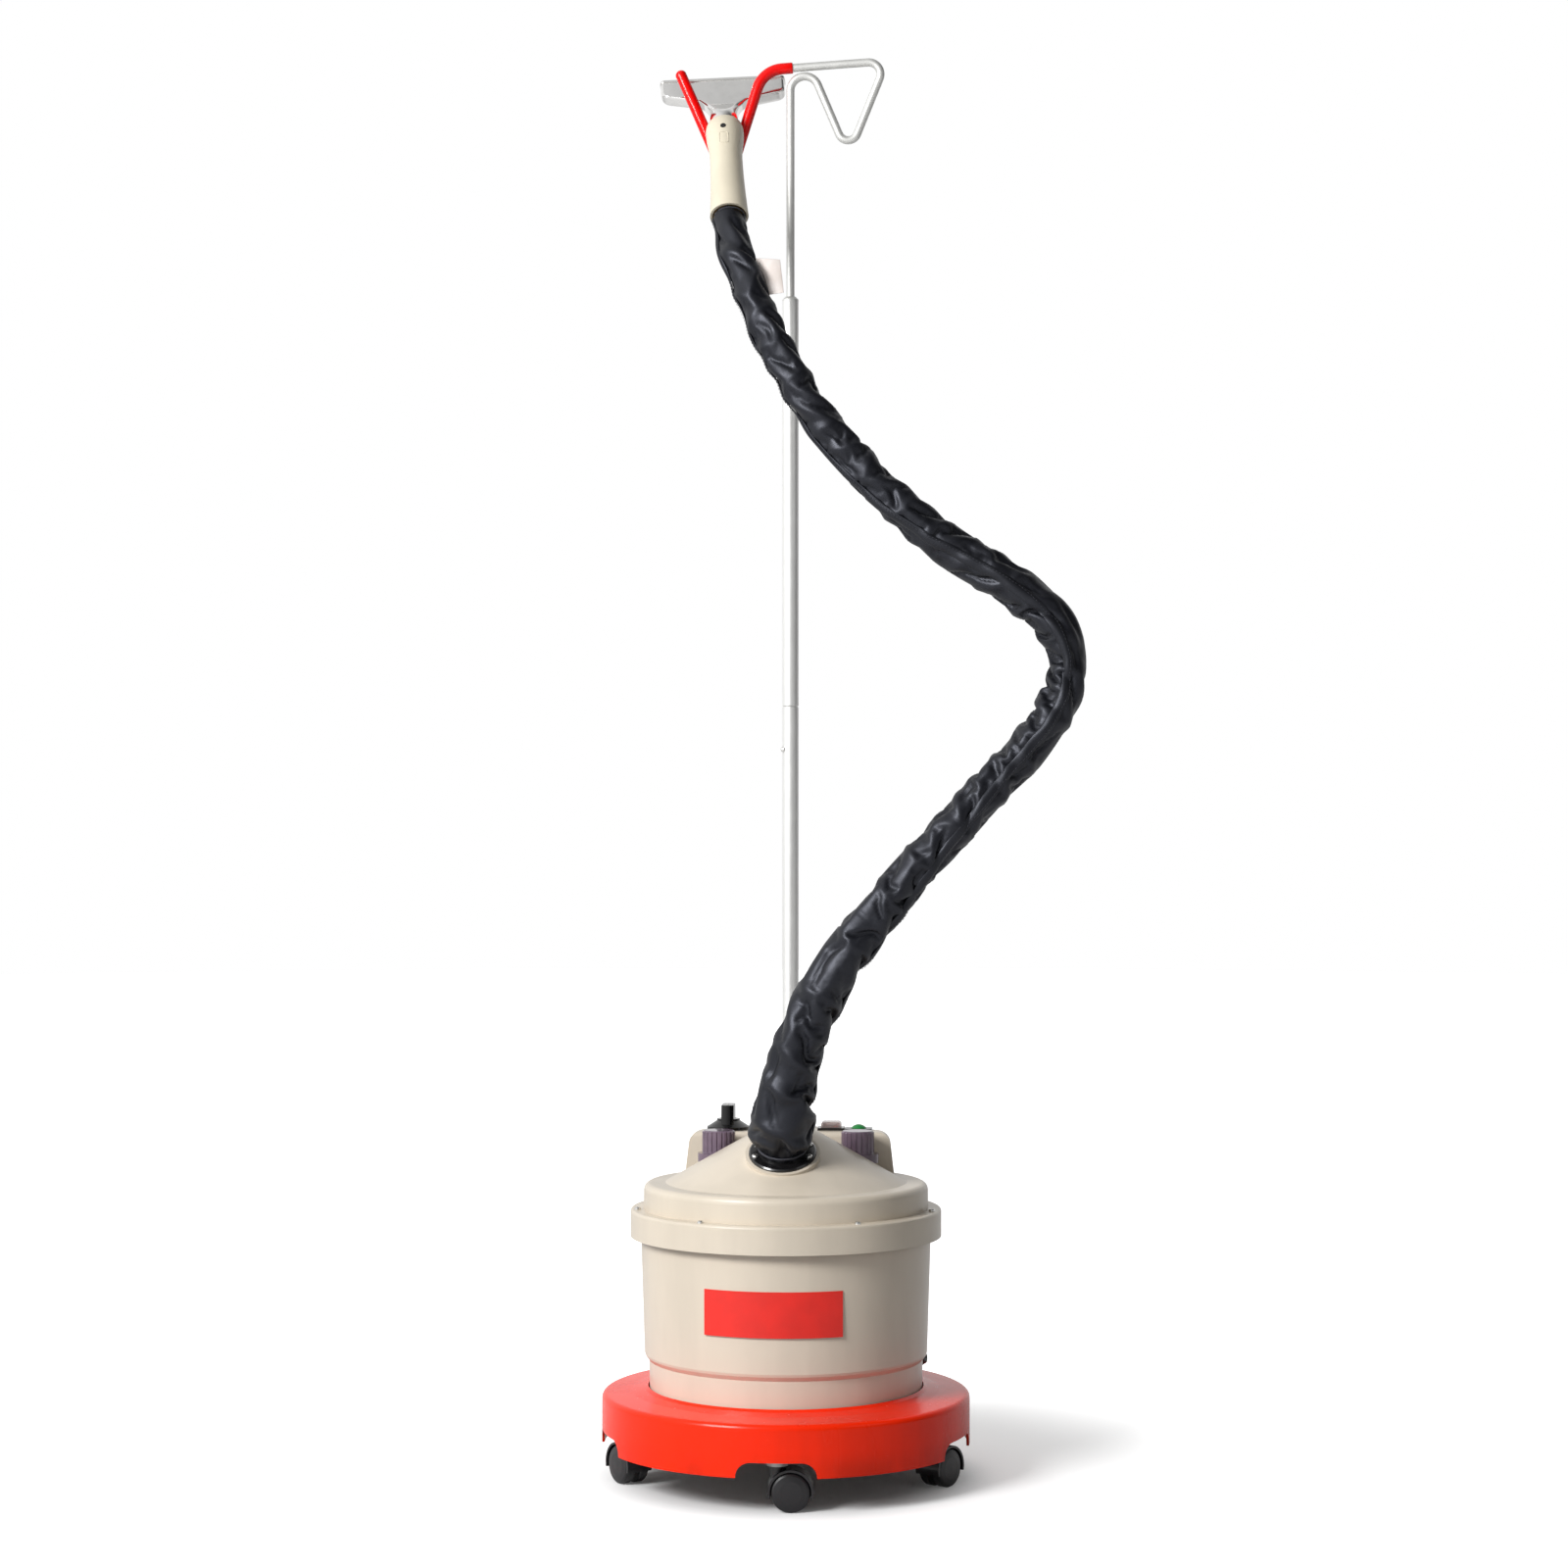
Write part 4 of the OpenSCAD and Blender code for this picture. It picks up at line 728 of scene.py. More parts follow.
def bar(
    name: str, line: Points, radius: float, sides: int, look: Looks, body: str,
    closed: bool = False,
) -> bpy.types.Object:
    """Sweeps a round bar along a line of points.

    Args:
        name: The piece's name.
        line: The points. A fourth column is the bar's girth there, which is 1 without it.
        radius: The bar's radius where the girth is 1.
        sides: Faces round the bar.
        look: Its finish.
        body: The CAD body that it rides on, or nothing for a piece hung between two.
        closed: The last point joins the first.

    Returns:
        The piece.
    """
    line = np.asarray(line, float)
    if line.shape[1] == 3:
        line = np.c_[line, np.ones(len(line))]
    tree = GrowthTree(name + "_tree", {"Radius": radius, "Sides": sides})
    curve = tree.node("GeometryNodeMeshToCurve", {}, {"Mesh": tree.given("Geometry")})
    girth = tree.node(
        "GeometryNodeInputNamedAttribute", {"data_type": "FLOAT"}, {"Name": "girth"}
    )
    ring = tree.node(
        "GeometryNodeCurvePrimitiveCircle", {},
        {"Resolution": tree.given("Sides"), "Radius": tree.given("Radius")},
    )
    swept = tree.node(
        "GeometryNodeCurveToMesh", {},
        {"Curve": curve, "Profile Curve": ring, "Scale": girth, "Fill Caps": True},
    )
    tree.finish(swept, look)
    return tree.grow(name, line, body, closed)


def stitches(
    name: str, line: Points, pitch: float, length: float, radius: float, look: Looks, body: str
) -> bpy.types.Object:
    """Sets short round bars in a row along a line.

    Args:
        name: The piece's name.
        line: The points of the line.
        pitch: Distance from one bar's middle to the next.
        length: A bar's length.
        radius: Its radius.
        look: Its finish.
        body: The CAD body that they ride on, or nothing for a piece hung between two.

    Returns:
        The piece.
    """
    tree = GrowthTree(
        name + "_tree", {"Pitch": pitch, "Length": length, "Radius": radius, "Sides": 6}
    )
    curve = tree.node("GeometryNodeMeshToCurve", {}, {"Mesh": tree.given("Geometry")})
    spaced = tree.node(
        "GeometryNodeResampleCurve", {"mode": "LENGTH"},
        {"Curve": curve, "Length": tree.given("Pitch")},
    )
    one = tree.node(
        "GeometryNodeMeshCylinder", {},
        {"Vertices": tree.given("Sides"), "Radius": tree.given("Radius"),
         "Depth": tree.given("Length")},
    )
    turned = tree.node(
        "FunctionNodeAlignRotationToVector", {"axis": "Z"},
        {"Vector": tree.node("GeometryNodeInputTangent")},
    )
    row = tree.node(
        "GeometryNodeInstanceOnPoints", {},
        {"Points": spaced, "Instance": one, "Rotation": turned},
    )
    tree.finish(row, look)
    return tree.grow(name, line, body)


# ---------------------------------------------------------------- the hose and its sleeve

CONE_SLOPE = math.radians(29.4)
OUTLET = np.array(mm(0, -69, 411 - 69 * math.tan(CONE_SLOPE)))
OUTLET_WAY = np.array([0, -math.sin(CONE_SLOPE), math.cos(CONE_SLOPE)])
TILT, ROLL = math.radians(32), math.radians(-5.3)
NECK = np.array(mm(-76, 83, 1550))


def handle_place(along: float) -> Points:
    """A point on the handle's axis, this many metres above its top rim."""
    lean, rise = math.sin(TILT), math.cos(TILT)
    return NECK + along * np.array([rise * math.sin(ROLL), lean, rise * math.cos(ROLL)])


HOSE_ROUTE = np.array([
    (5, -100, 445), (15, -105, 485), (30, -105, 525), (50, -110, 565), (80, -110, 610),
    (115, -110, 650), (150, -105, 695), (190, -105, 735), (225, -100, 775), (265, -95, 815),
    (300, -95, 860), (315, -90, 895), (315, -90, 930), (300, -90, 965), (270, -85, 990),
    (235, -85, 1015), (200, -80, 1035), (165, -80, 1060), (130, -80, 1090), (95, -80, 1125),
    (65, -75, 1160), (35, -75, 1195), (15, -70, 1230), (-5, -65, 1265), (-25, -55, 1305),
    (-40, -40, 1345), (-55, -25, 1380),
]) / 1000


@dataclass
class HoseLine:
    """The hose's centreline: the route's points joined by one springy curve."""

    spring: int = 20
    lead: float = 0.022
    ring_top: float = 0.014
    handle_l: float = 0.1424
    spare: int = 20
    points: Points = field(init=False)
    stations: Points = field(init=False)
    length: float = field(init=False)

    def __post_init__(self) -> None:
        """Works out the curve, one point to the millimetre."""
        inward = unit(handle_place(1) - handle_place(0))
        corners = np.vstack([
            OUTLET + OUTLET_WAY * self.ring_top,
            OUTLET + OUTLET_WAY * (self.ring_top + self.lead),
            HOSE_ROUTE,
            handle_place(-self.handle_l - self.lead),
            handle_place(-self.handle_l),
        ])
        steps = np.concatenate([[0], np.cumsum(np.linalg.norm(np.diff(corners, axis=0), axis=1))])
        count = int(steps[-1] * 1000) + 1
        run = np.linspace(0, steps[-1], count)
        line = np.stack([np.interp(run, steps, corners[:, i]) for i in range(3)], -1)
        reach = 6 * self.spring
        before = corners[0] - OUTLET_WAY * np.arange(reach, 0, -1)[:, None] / 1000
        after = corners[-1] + inward * np.arange(1, reach + 1)[:, None] / 1000
        line = np.vstack([before, line, after])
        span = np.arange(-3 * self.spring, 3 * self.spring + 1)
        weight = np.exp(-(span**2) / (2 * self.spring**2))
        weight /= weight.sum()
        line = np.stack([np.convolve(line[:, i], weight, "same") for i in range(3)], -1)
        self.points = line[reach - self.spare : reach + count + self.spare]
        run = np.cumsum(np.linalg.norm(np.diff(self.points, axis=0), axis=1))
        self.stations = np.concatenate([[0], run]) - self.spare / 1000
        self.length = float(self.stations[-1] - self.spare / 1000)

    def at(self, stations: Points) -> Points:
        """Points of the line at these distances from the outlet's collar."""
        return np.stack(
            [np.interp(stations, self.stations, self.points[:, i]) for i in range(3)], -1
        )

    def frames(self, stations: Points) -> tuple[Points, Points, Points, Points]:
        """Places along the line with directions that don't twist.

        Args:
            stations: Distances from the outlet's collar.

        Returns:
            The points, the way along, and two directions across it.
        """
        place = self.at(stations)
        way = unit(self.at(stations + 0.002) - self.at(stations - 0.002))
        side = np.zeros_like(way)
        first = np.array([1.0, 0, 0])
        side[0] = unit(first - first @ way[0] * way[0])
        for i in range(1, len(stations)):
            side[i] = unit(side[i - 1] - side[i - 1] @ way[i] * way[i])
        return place, way, side, np.cross(way, side)


@dataclass
class SteamHose:
    """The hose inside the sleeve, from the outlet's collar to the handle's coupling."""

    line: HoseLine
    radius: float = 0.011
    steps: int = 220

    def path(self) -> Points:
        """The points that the hose follows."""
        return self.line.at(np.linspace(0, self.line.length, self.steps))

    def build(self) -> bpy.types.Object:
        """Makes the hose as one open tube.

        Returns:
            The tube.
        """
        points = self.path()
        curve = bpy.data.curves.new("steam_hose_core", "CURVE")
        curve.dimensions = "3D"
        curve.bevel_depth = self.radius
        curve.bevel_resolution = 5
        curve.use_fill_caps = True
        spline = curve.splines.new("POLY")
        spline.points.add(len(points) - 1)
        spline.points.foreach_set("co", np.c_[points, np.ones(len(points))].ravel())
        spline.use_smooth = True
        curve.materials.append(Looks.RUBBER.material())
        hose = placed("steam_hose_core", drawn(bpy.data.objects.new("hose_line", curve)), "")
        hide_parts("steam_hose")
        return hose


@dataclass
class HoseSleeve:
    """The nylon sleeve: a cloth tube cut longer than the hose, let settle into its folds."""

    line: HoseLine
    below: float = 0.007
    above: float = 0.006
    slack: float = 0.08  # how much longer than the hose the cloth is cut
    fullness: float = 1.08  # how much wider than its plain form
    core_gap: float = 0.0065  # how far a fold may fall in
    puff: float = 0.0002  # how far the cloth may stand out everywhere
    lean: float = 0.07  # how much one slanting thread is longer than the other
    panel: float = 0.055  # a hollow face's length, and how many go round
    around: int = 4
    jitter: tuple[float, float] = (0.45, 0.35)  # how far chance moves a face
    shear: float = 0.4  # how much the faces wind round
    ridge: float = 0.007  # how wide a ridge between two faces is, and how steep
    rise: float = 0.26
    foot_reach: float = 0.09  # how far up the foot's spare cloth goes
    sag: float = 0.00002
    bend: float = 0.97  # how far the cloth folds before it is stiff, and how stiff
    stiffness: float = 0.15
    coarse: tuple[float, int] = (0.011, 12)  # the first grid's pitch, and its points in a ring
    stages: tuple[tuple[int, float, float], ...] = (  # rounds, swell and shake at each grid
        (160, 0.00005, 0.001), (140, 0.00003, 0.00025), (90, 0.00003, 0.000125),
    )
    seed: int = 7
    plain: float = 0.0215  # the radius that its cut is drawn with
    bare: float = 0.0125  # the radius over the hose, the collar and the coupling
    collar: float = 0.0256
    coupling: float = 0.0168
    mouth: float = 0.0182  # the radius inside the handle
    skirt: float = 0.0375  # the least radius that the foot is cut to
    heights: tuple[float, ...] = (
        0.380, 0.384, 0.396, 0.412, 0.440, 0.470, 0.550, 0.575, 0.600, 0.700, 0.880,
        0.905, 0.930, 0.960, 1.000, 1.040, 1.100, 1.120, 1.180, 1.340, 1.425,
    )
    radii: tuple[float, ...] = mm(
        26.3, 27.5, 37.5, 34, 30.5, 27.5, 26.5, 24.5, 23.5, 22, 22.5,
        20.5, 20.5, 23, 24.2, 22.5, 20.5, 20, 19, 18.5, 17.3,
    )
    rows: int = field(init=False, default=0)
    columns: int = field(init=False, default=0)
    cloth: Points = field(init=False)

    def __post_init__(self) -> None:
        """Sets the tube's ends and its seeded chance."""
        self.start, self.end = -self.below, self.line.length + self.above
        self.chance = np.random.default_rng(self.seed)

    def ring_grid(self, rows: int, columns: int) -> dict[str, Points]:
        """The tube's plain form, a grid of rings.

        Args:
            rows: Rings along the tube.
            columns: Points in a ring.

        Returns:
            Stations, centres, ways along, radii and outward directions.
        """
        station = np.linspace(self.start, self.end, rows)
        centre, way, side, back = self.line.frames(station)
        radius = np.interp(centre[:, 2], self.heights, self.radii)
        twist = -math.pi * np.clip((station - 0.1) / (self.line.length - 0.3), 0, 1)
        angle = (2 * math.pi * np.arange(columns)[None, :] / columns + twist[:, None])[..., None]
        outward = np.cos(angle) * side[:, None] + np.sin(angle) * back[:, None]
        return dict(station=station, centre=centre, way=way, radius=radius, outward=outward)

    @staticmethod
    def at_foot(station: Points, reach: float) -> Points:
        """1 at the foot, falling off up the sleeve over about this reach."""
        return np.exp(-np.maximum(station, 0) / reach)

    def panels(self, station: Points, columns: int) -> Points:
        """How far the cloth may stand out: seeded ridges with hollow faces between them.

        Args:
            station: Where the rings of the grid are.
            columns: Points in a ring.

        Returns:
            The height of every grid point, in metres.
        """
        chance = np.random.default_rng(self.seed)
        girth = 2 * math.pi * self.plain
        high, wide = self.jitter
        seeds = np.array([
            (
                at + chance.uniform(-high, high) * self.panel,
                (k + 0.5 * (n % 2) + chance.uniform(-wide, wide)) * girth / self.around,
            )
            for n, at in enumerate(np.arange(self.start - 0.1, self.end + 0.1, self.panel))
            for k in range(self.around)
        ])
        seeds = np.vstack([seeds + (0, turn * girth) for turn in (-1, 0, 1)])
        height = np.zeros((len(station), columns))
        for row, at in enumerate(station):
            near = seeds[np.abs(seeds[:, 0] - at) < 2.5 * self.panel]
            around = np.mod(girth * np.arange(columns) / columns + self.shear * at, girth)
            square = (near[None, :, 0] - at) ** 2 + (near[None, :, 1] - around[:, None]) ** 2
            own = square.argmin(1)
            apart = np.hypot(*(near[None] - near[own][:, None]).transpose(2, 0, 1))
            edge = (square - square.min(1)[:, None]) / (2 * apart + 1e-9)
            edge[np.arange(columns), own] = 1
            height[row] = edge.min(1)
        fade = np.clip(np.minimum(station / 0.012, (self.line.length - station) / 0.03), 0, 1)
        fade *= self.rise * (1 + 0.9 * self.at_foot(station, 0.08))
        return (self.ridge - np.minimum(height, 2 * self.ridge)) * fade[:, None]

    def bounds(self, station: Points, radius: Points, columns: int) -> tuple[Points, Points]:
        """How near to the line and how far from it the cloth may lie.

        Args:
            station: Where the rings of the grid are.
            radius: The plain tube's radius there.
            columns: Points in a ring.

        Returns:
            The least distance of every ring, and the greatest of every point.
        """
        low = radius - self.core_gap * (1 + 1.6 * self.at_foot(station, self.foot_reach))
        low = np.maximum(low, self.bare)
        low = np.where(station < 0.006, self.collar, low)
        top = self.line.length
        low = np.where(station > top - 0.004, np.minimum(low, self.coupling), low)
        high = np.where(station > top - 0.01, self.mouth, radius + self.puff)
        return low[:, None], high[:, None] + self.panels(station, columns)

    def relax(self, cloth: Points, rounds: int, swell: float, shake: float) -> Points:
        """Lets the cloth settle: its threads keep their cut length, so spare cloth folds.

        Args:
            cloth: The grid of points, changed in place.
            rounds: How many times every thread is pulled to its length.
            swell: How far a round pushes the cloth out, in metres.
            shake: How far chance moves a point in the first rounds.

        Returns:
            The settled grid.
        """
        rows, columns = cloth.shape[:2]
        form = self.ring_grid(rows, columns)
        station, centre, way, radius = (form[k] for k in ("station", "centre", "way", "radius"))
        cut = radius * self.fullness
        cut = np.where(station < 0.03, np.maximum(cut, self.skirt), cut)
        uneven = 1 + 0.4 * np.sin(station * 31 + 1.2 * np.sin(station * 13))
        uneven += 0.9 * self.at_foot(station, self.foot_reach)
        step = (station[1] - station[0]) * (1 + self.slack * uneven[1:])
        along = np.sqrt(step**2 + np.diff(cut) ** 2)
        across = 2 * cut * math.sin(math.pi / columns)
        slant = np.sqrt(along**2 + across[1:] * across[:-1])
        lean = self.lean * np.sin(station[1:] * 11 + 0.8)
        wide = 2 * cut * math.sin(2 * math.pi / columns) * self.bend
        low, high = self.bounds(station, radius, columns)
        held = (station < self.start + 0.0035) | (station > self.end - 0.006)
        kept = cloth[held].copy()

        def spokes() -> tuple[Points, Points]:
            """Every point's reach from the line, and what it has along the line."""
            spoke = cloth - centre[:, None]
            lengthways = (spoke * way[:, None]).sum(-1)[..., None] * way[:, None]
            return spoke - lengthways, lengthways

        def pull(
            first: Any, second: Any, length: Points, share: float, only: bool = False
        ) -> None:
            """Brings pairs of points to their thread's length, or only apart to it."""
            gap = cloth[second] - cloth[first]
            size = np.sqrt((gap * gap).sum(-1)) + 1e-12
            wrong = (size - length) / size
            if only:
                wrong = np.minimum(wrong, 0)
            gap *= (0.5 * share * wrong)[..., None]
            cloth[first] += gap
            cloth[second] -= gap

        ring = np.arange(columns)[None, :]
        left, right = np.roll(ring, 1), np.roll(ring, -1)
        every = np.arange(rows)[:, None]
        halves = [np.arange(first, rows - 1, 2)[:, None] for first in (0, 1)]
        pairs = [[i for i in range(max(rows, columns)) if i % 4 // 2 == h] for h in (0, 1)]
        fours = [np.array([i for i in pair if i < rows - 2])[:, None] for pair in pairs]
        ring_fours = [ring[:, [k for k in pair if k < columns]] for pair in pairs]
        for turn in range(rounds):
            cloth += unit(spokes()[0]) * swell
            cloth[..., 2] -= self.sag
            if turn < rounds / 2:
                cloth += self.chance.normal(size=cloth.shape) * shake * (1 - 2 * turn / rounds)
            for rows_here in halves:
                here = rows_here[:, 0]
                pull((rows_here, ring), (rows_here + 1, ring), along[here][:, None], 1.0)
                longer, shorter = slant[here] * (1 + lean[here]), slant[here] * (1 - lean[here])
                pull((rows_here, ring), (rows_here + 1, right), longer[:, None], 0.5)
                pull((rows_here, ring), (rows_here + 1, left), shorter[:, None], 0.5)
            for k in (0, 1):
                pull((every, ring[:, k::2]), (every, right[:, k::2]), across[:, None], 1.0)
            for rows_here in fours:
                tall = (2 * along[rows_here[:, 0]] * self.bend)[:, None]
                pull((rows_here, ring), (rows_here + 2, ring), tall, self.stiffness, True)
            for k in ring_fours:
                far = (k + 2) % columns
                pull((every, k), (every, far), wide[:, None], self.stiffness, True)
            spoke, lengthways = spokes()
            size = np.sqrt((spoke * spoke).sum(-1))
            inside = np.clip(size, low, high)
            cloth[:] = centre[:, None] + lengthways + spoke * (inside / size)[..., None]
            cloth[held] = kept
        return cloth

    @staticmethod
    def refined(cloth: Points) -> Points:
        """The grid with twice the rows and columns, on smooth curves through it."""
        rows, columns = cloth.shape[:2]

        def curve(a: Points, b: Points, c: Points, d: Points, t: Points) -> Points:
            """A smooth curve from b to c."""
            bend = 2 * a - 5 * b + 4 * c - d + t * (3 * (b - c) + d - a)
            return b + 0.5 * t * (c - a + t * bend)

        place = np.linspace(0, rows - 1, 2 * rows)
        i = np.minimum(place.astype(int), rows - 2)
        t = (place - i)[:, None, None]
        tall = curve(cloth[np.maximum(i - 1, 0)], cloth[i], cloth[i + 1],
                     cloth[np.minimum(i + 2, rows - 1)], t)
        place = np.arange(2 * columns) / 2
        j = place.astype(int)
        t = (place - j)[None, :, None]
        return curve(tall[:, (j - 1) % columns], tall[:, j], tall[:, (j + 1) % columns],
                     tall[:, (j + 2) % columns], t)

    def settle(self) -> None:
        """Lets the cloth settle at three grid sizes, from big folds to small ones."""
        cell, columns = self.coarse
        form = self.ring_grid(int((self.end - self.start) / cell), columns)
        cloth = form["centre"][:, None] + form["radius"][:, None, None] * form["outward"]
        for level, stage in enumerate(self.stages):
            if level:
                cloth = self.refined(cloth)
                form = self.ring_grid(*cloth.shape[:2])
                foot = form["station"] < self.start + 0.004
                pleats = 0.001 * np.cos(math.pi / 2 * np.arange(cloth.shape[1])) * (level == 2)
                reach = form["radius"][foot][:, None] + pleats[None, :]
                outward = reach[..., None] * form["outward"][foot]
                cloth[foot] = form["centre"][foot][:, None] + outward
            cloth = self.relax(cloth, *stage)
        self.rows, self.columns = cloth.shape[:2]
        self.cloth = cloth

    def build(self) -> bpy.types.Object:
        """Makes the sleeve from the settled cloth, with its cut as a UV map.

        Returns:
            The sleeve.
        """
        self.settle()
        sleeve = piece(
            "nylon_sleeve", self.cloth, grid_faces(self.rows, self.columns), Looks.NYLON, ""
        )
        pitch = (
            2 * math.pi * self.plain / self.columns,
            self.line.length * (1 + self.slack) / self.rows,
        )
        finish_cloth(sleeve, self.columns, pitch, (0, 0))
        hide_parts("hose_sleeve")
        return sleeve

    def surface_normals(self) -> Points:
        """Outward normals at the settled cloth's points."""
        along = np.gradient(self.cloth, axis=0)
        across = (np.roll(self.cloth, -1, 1) - np.roll(self.cloth, 1, 1)) / 2
        return unit(np.cross(across, along))


@dataclass
class SleeveTrim:
    """The sleeve's closing flap, its row of stitches and its two hems."""

    sleeve: HoseSleeve
    columns: tuple[int, ...] = (-2, -1, 0, 1, 2)
    lift: tuple[float, ...] = (0.0004, 0.0016, 0.0021, 0.0019, 0.0005)
    passes: int = 10
    doubled: float = 0.0006
    weave: tuple[float, float] = (0.003, 0.003)
    seam: tuple[int, int, float] = (3, 1, 0.0009)
    stitch: tuple[float, float, float] = (0.0042, 0.0028, 0.00022)
    foot_cord: tuple[float, float, float] = (0.0045, 0.0272, 0.0013)
    mouth_cord: tuple[float, float, float] = (0.002, 0.0176, 0.0008)
    puckers: tuple[int, float] = (12, 0.0002)

    def flap(self) -> list[bpy.types.Object]:
        """The closure's flap: a doubled strip down the sleeve with a row of stitches.

        Returns:
            The strip and its stitches.
        """
        cloth, normals = self.sleeve.cloth, self.sleeve.surface_normals()
        rows, columns = range(3, self.sleeve.rows - 3), self.sleeve.columns
        outer = np.stack([
            cloth[rows, c % columns] + normals[rows, c % columns] * h
            for c, h in zip(self.columns, self.lift)
        ], 1)
        kernel = np.array([0.25, 0.5, 0.25])
        for _ in range(self.passes):
            outer[1:-1] = sum(k * outer[i : len(outer) - 2 + i] for i, k in enumerate(kernel))
        faces = grid_faces(len(outer), len(self.columns), False)
        strip = piece("sleeve_flap", outer, faces, Looks.TAPE, "")
        finish_cloth(strip, len(self.columns), self.weave, (self.doubled, 1.0))
        across, beside, lift = self.seam
        seam = outer[:, across] + normals[rows, beside] * lift
        sewn = stitches("flap_stitches", seam, *self.stitch, Looks.THREAD, "")
        return [strip, sewn]

    def hems(self) -> list[bpy.types.Object]:
        """The gathered hem with its draw cord over the outlet's collar, and the top hem.

        Returns:
            The two hem pieces.
        """
        made = []
        line = self.sleeve.line
        (up, wide, thick), (down, narrow, thin) = self.foot_cord, self.mouth_cord
        for name, station, radius, girth, body in (
            ("foot_draw_cord", self.sleeve.start + up, wide, thick, "root"),
            ("mouth_draw_cord", line.length - down, narrow, thin, ""),
        ):
            centre, _, side, back = line.frames(np.array([station, station + 0.001]))
            angle = np.linspace(0, 2 * math.pi, 72, endpoint=False)[:, None]
            count, height = self.puckers
            wave = radius + height * np.cos(count * angle)
            ring = centre[0] + wave * (np.cos(angle) * side[0] + np.sin(angle) * back[0])
            cord = bar(name, ring, girth, 8, Looks.THREAD, body, closed=True)
            made.append(cord)
        return made


@dataclass
class CareLabel:
    """The cloth label sewn into the sleeve's seam near the handle. It is left blank."""

    sleeve: HoseSleeve
    low: float = 1.332
    high: float = 1.376
    width: float = 0.024
    sewn: float = 0.003
    thickness: float = 0.0004
    weave: tuple[float, float] = (0.002, 0.002)
    grid: tuple[int, int] = (23, 13)

    def root(self, height: float) -> Points:
        """The sleeve's outermost point on the label's side at a height."""
        cloth = self.sleeve.cloth.reshape(-1, 3)
        near = cloth[np.abs(cloth[:, 2] - height) < 0.004]
        return near[near[:, 0].argmax()]

    def build(self) -> bpy.types.Object:
        """Makes the label as a softly curled sheet standing out from the sleeve."""
        rows, columns = self.grid
        v, u = np.meshgrid(np.linspace(0, 1, rows), np.linspace(0, 1, columns), indexing="ij")
        foot, top = self.root(self.low), self.root(self.high)
        seam = foot + (top - foot) * v[..., None]
        inner, middle = seam[..., 0] - self.sewn, (foot[0] + top[0]) / 2
        outer = middle - self.sewn + self.width + 0.3 * (seam[..., 0] - middle)
        x = inner + (outer - inner) * u
        z = self.low + (self.high - self.low) * v + 0.002 * u * (1 - 2 * v)
        y = seam[..., 1] - (0.003 * np.sin(2.4 * u + 1.1 * v) - 0.0015 * np.sin(5 * v)) * u
        label = piece(
            "care_label_cloth", np.stack([x, y, z], -1), grid_faces(rows, columns, False),
            Looks.LABEL, "",
        )
        finish_cloth(label, columns, self.weave, (self.thickness, 0.0))
        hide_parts("care_label")
        return label


# ---------------------------------------------------------------- the hook


@dataclass
class Hook:
    """The bent rod on the pole, with the dipped red cradle over its free end."""

    pole_y: float = 0.100
    hook_z: float = 1.600
    rod_radius: float = 0.00475
    dip_radius: float = 0.0065
    cradle_run: float = 34.8
    corners: tuple[tuple[float, float, float], ...] = (
        (0, -265, 0), (0, 76, 16.7), (67.6, -82.4, 11.5), (112.4, 27.7, 14),
        (-31.9, 18.8, 32), (-73.2, -111.5, 14), (-128, 14, 0),
    )
    step: float = math.radians(4)

    def bent(self, corners: Points) -> Points:
        """The rod's centreline through its corners, each bent to its radius.

        Args:
            corners: Sideways, up and bend radius of each corner, in millimetres.

        Returns:
            Points in metres.
        """
        flat = [corners[0][:2]]
        for before, here, after in zip(corners, corners[1:], corners[2:]):
            p, radius = here[:2], here[2]
            a, b = unit(before[:2] - p), unit(after[:2] - p)
            half = math.acos(a @ b) / 2
            centre = p + unit(a + b) * radius / math.sin(half)
            u = unit(p + a * radius / math.tan(half) - centre)
            v = unit(p + b * radius / math.tan(half) - centre)
            w = unit(v - (v @ u) * u)
            turn = math.pi - 2 * half
            angles = np.linspace(0, turn, max(3, int(turn / self.step)))
            flat += [centre + radius * (u * math.cos(t) + w * math.sin(t)) for t in angles]
        flat.append(corners[-1][:2])
        points = np.array(flat) / 1000
        return np.c_[points[:, 0], np.full(len(points), self.pole_y), self.hook_z + points[:, 1]]

    def build(self) -> list[bpy.types.Object]:
        """Makes the rod and the cradle's dip.

        Returns:
            The two pieces.
        """
        corners = np.array(self.corners, float)
        line = self.bent(corners)
        way = unit(line[-1] - line[-2])
        rod = bar("bent_hook_rod", line, self.rod_radius, 32, Looks.ROD, "root")
        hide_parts("hook_rod")
        start = corners[4, :2] + self.cradle_run * unit(corners[3, :2] - corners[4, :2])
        run = self.bent(np.vstack([[*start, 0], corners[4:]]))
        lead = unit(run[1] - run[0])
        lip = [(0.0, 0.80), (0.0002, 0.93), (0.0010, 1.0)]
        head = [(*(run[0] + lead * s), g) for s, g in lip]
        tip = run[-1]
        nose = [(*(tip + way * s), g) for s, g in self.nose()]
        body = [(*p, 1.0) for p in run[1:-1]]
        line = np.array(head + body + nose)
        dip = bar("cradle_dip", line, self.dip_radius, 36, Looks.DIP, "root")
        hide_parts("cradle_sleeve")
        return [rod, dip]

    def nose(self) -> list[tuple[float, float]]:
        """The dip's rounded end: how far past the rod's tip, and its girth."""
        reach = self.dip_radius * 0.9
        steps = np.linspace(0, math.pi / 2 - 0.12, 9)
        return [(reach * math.sin(t), math.cos(t)) for t in steps]


# ---------------------------------------------------------------- the steam head


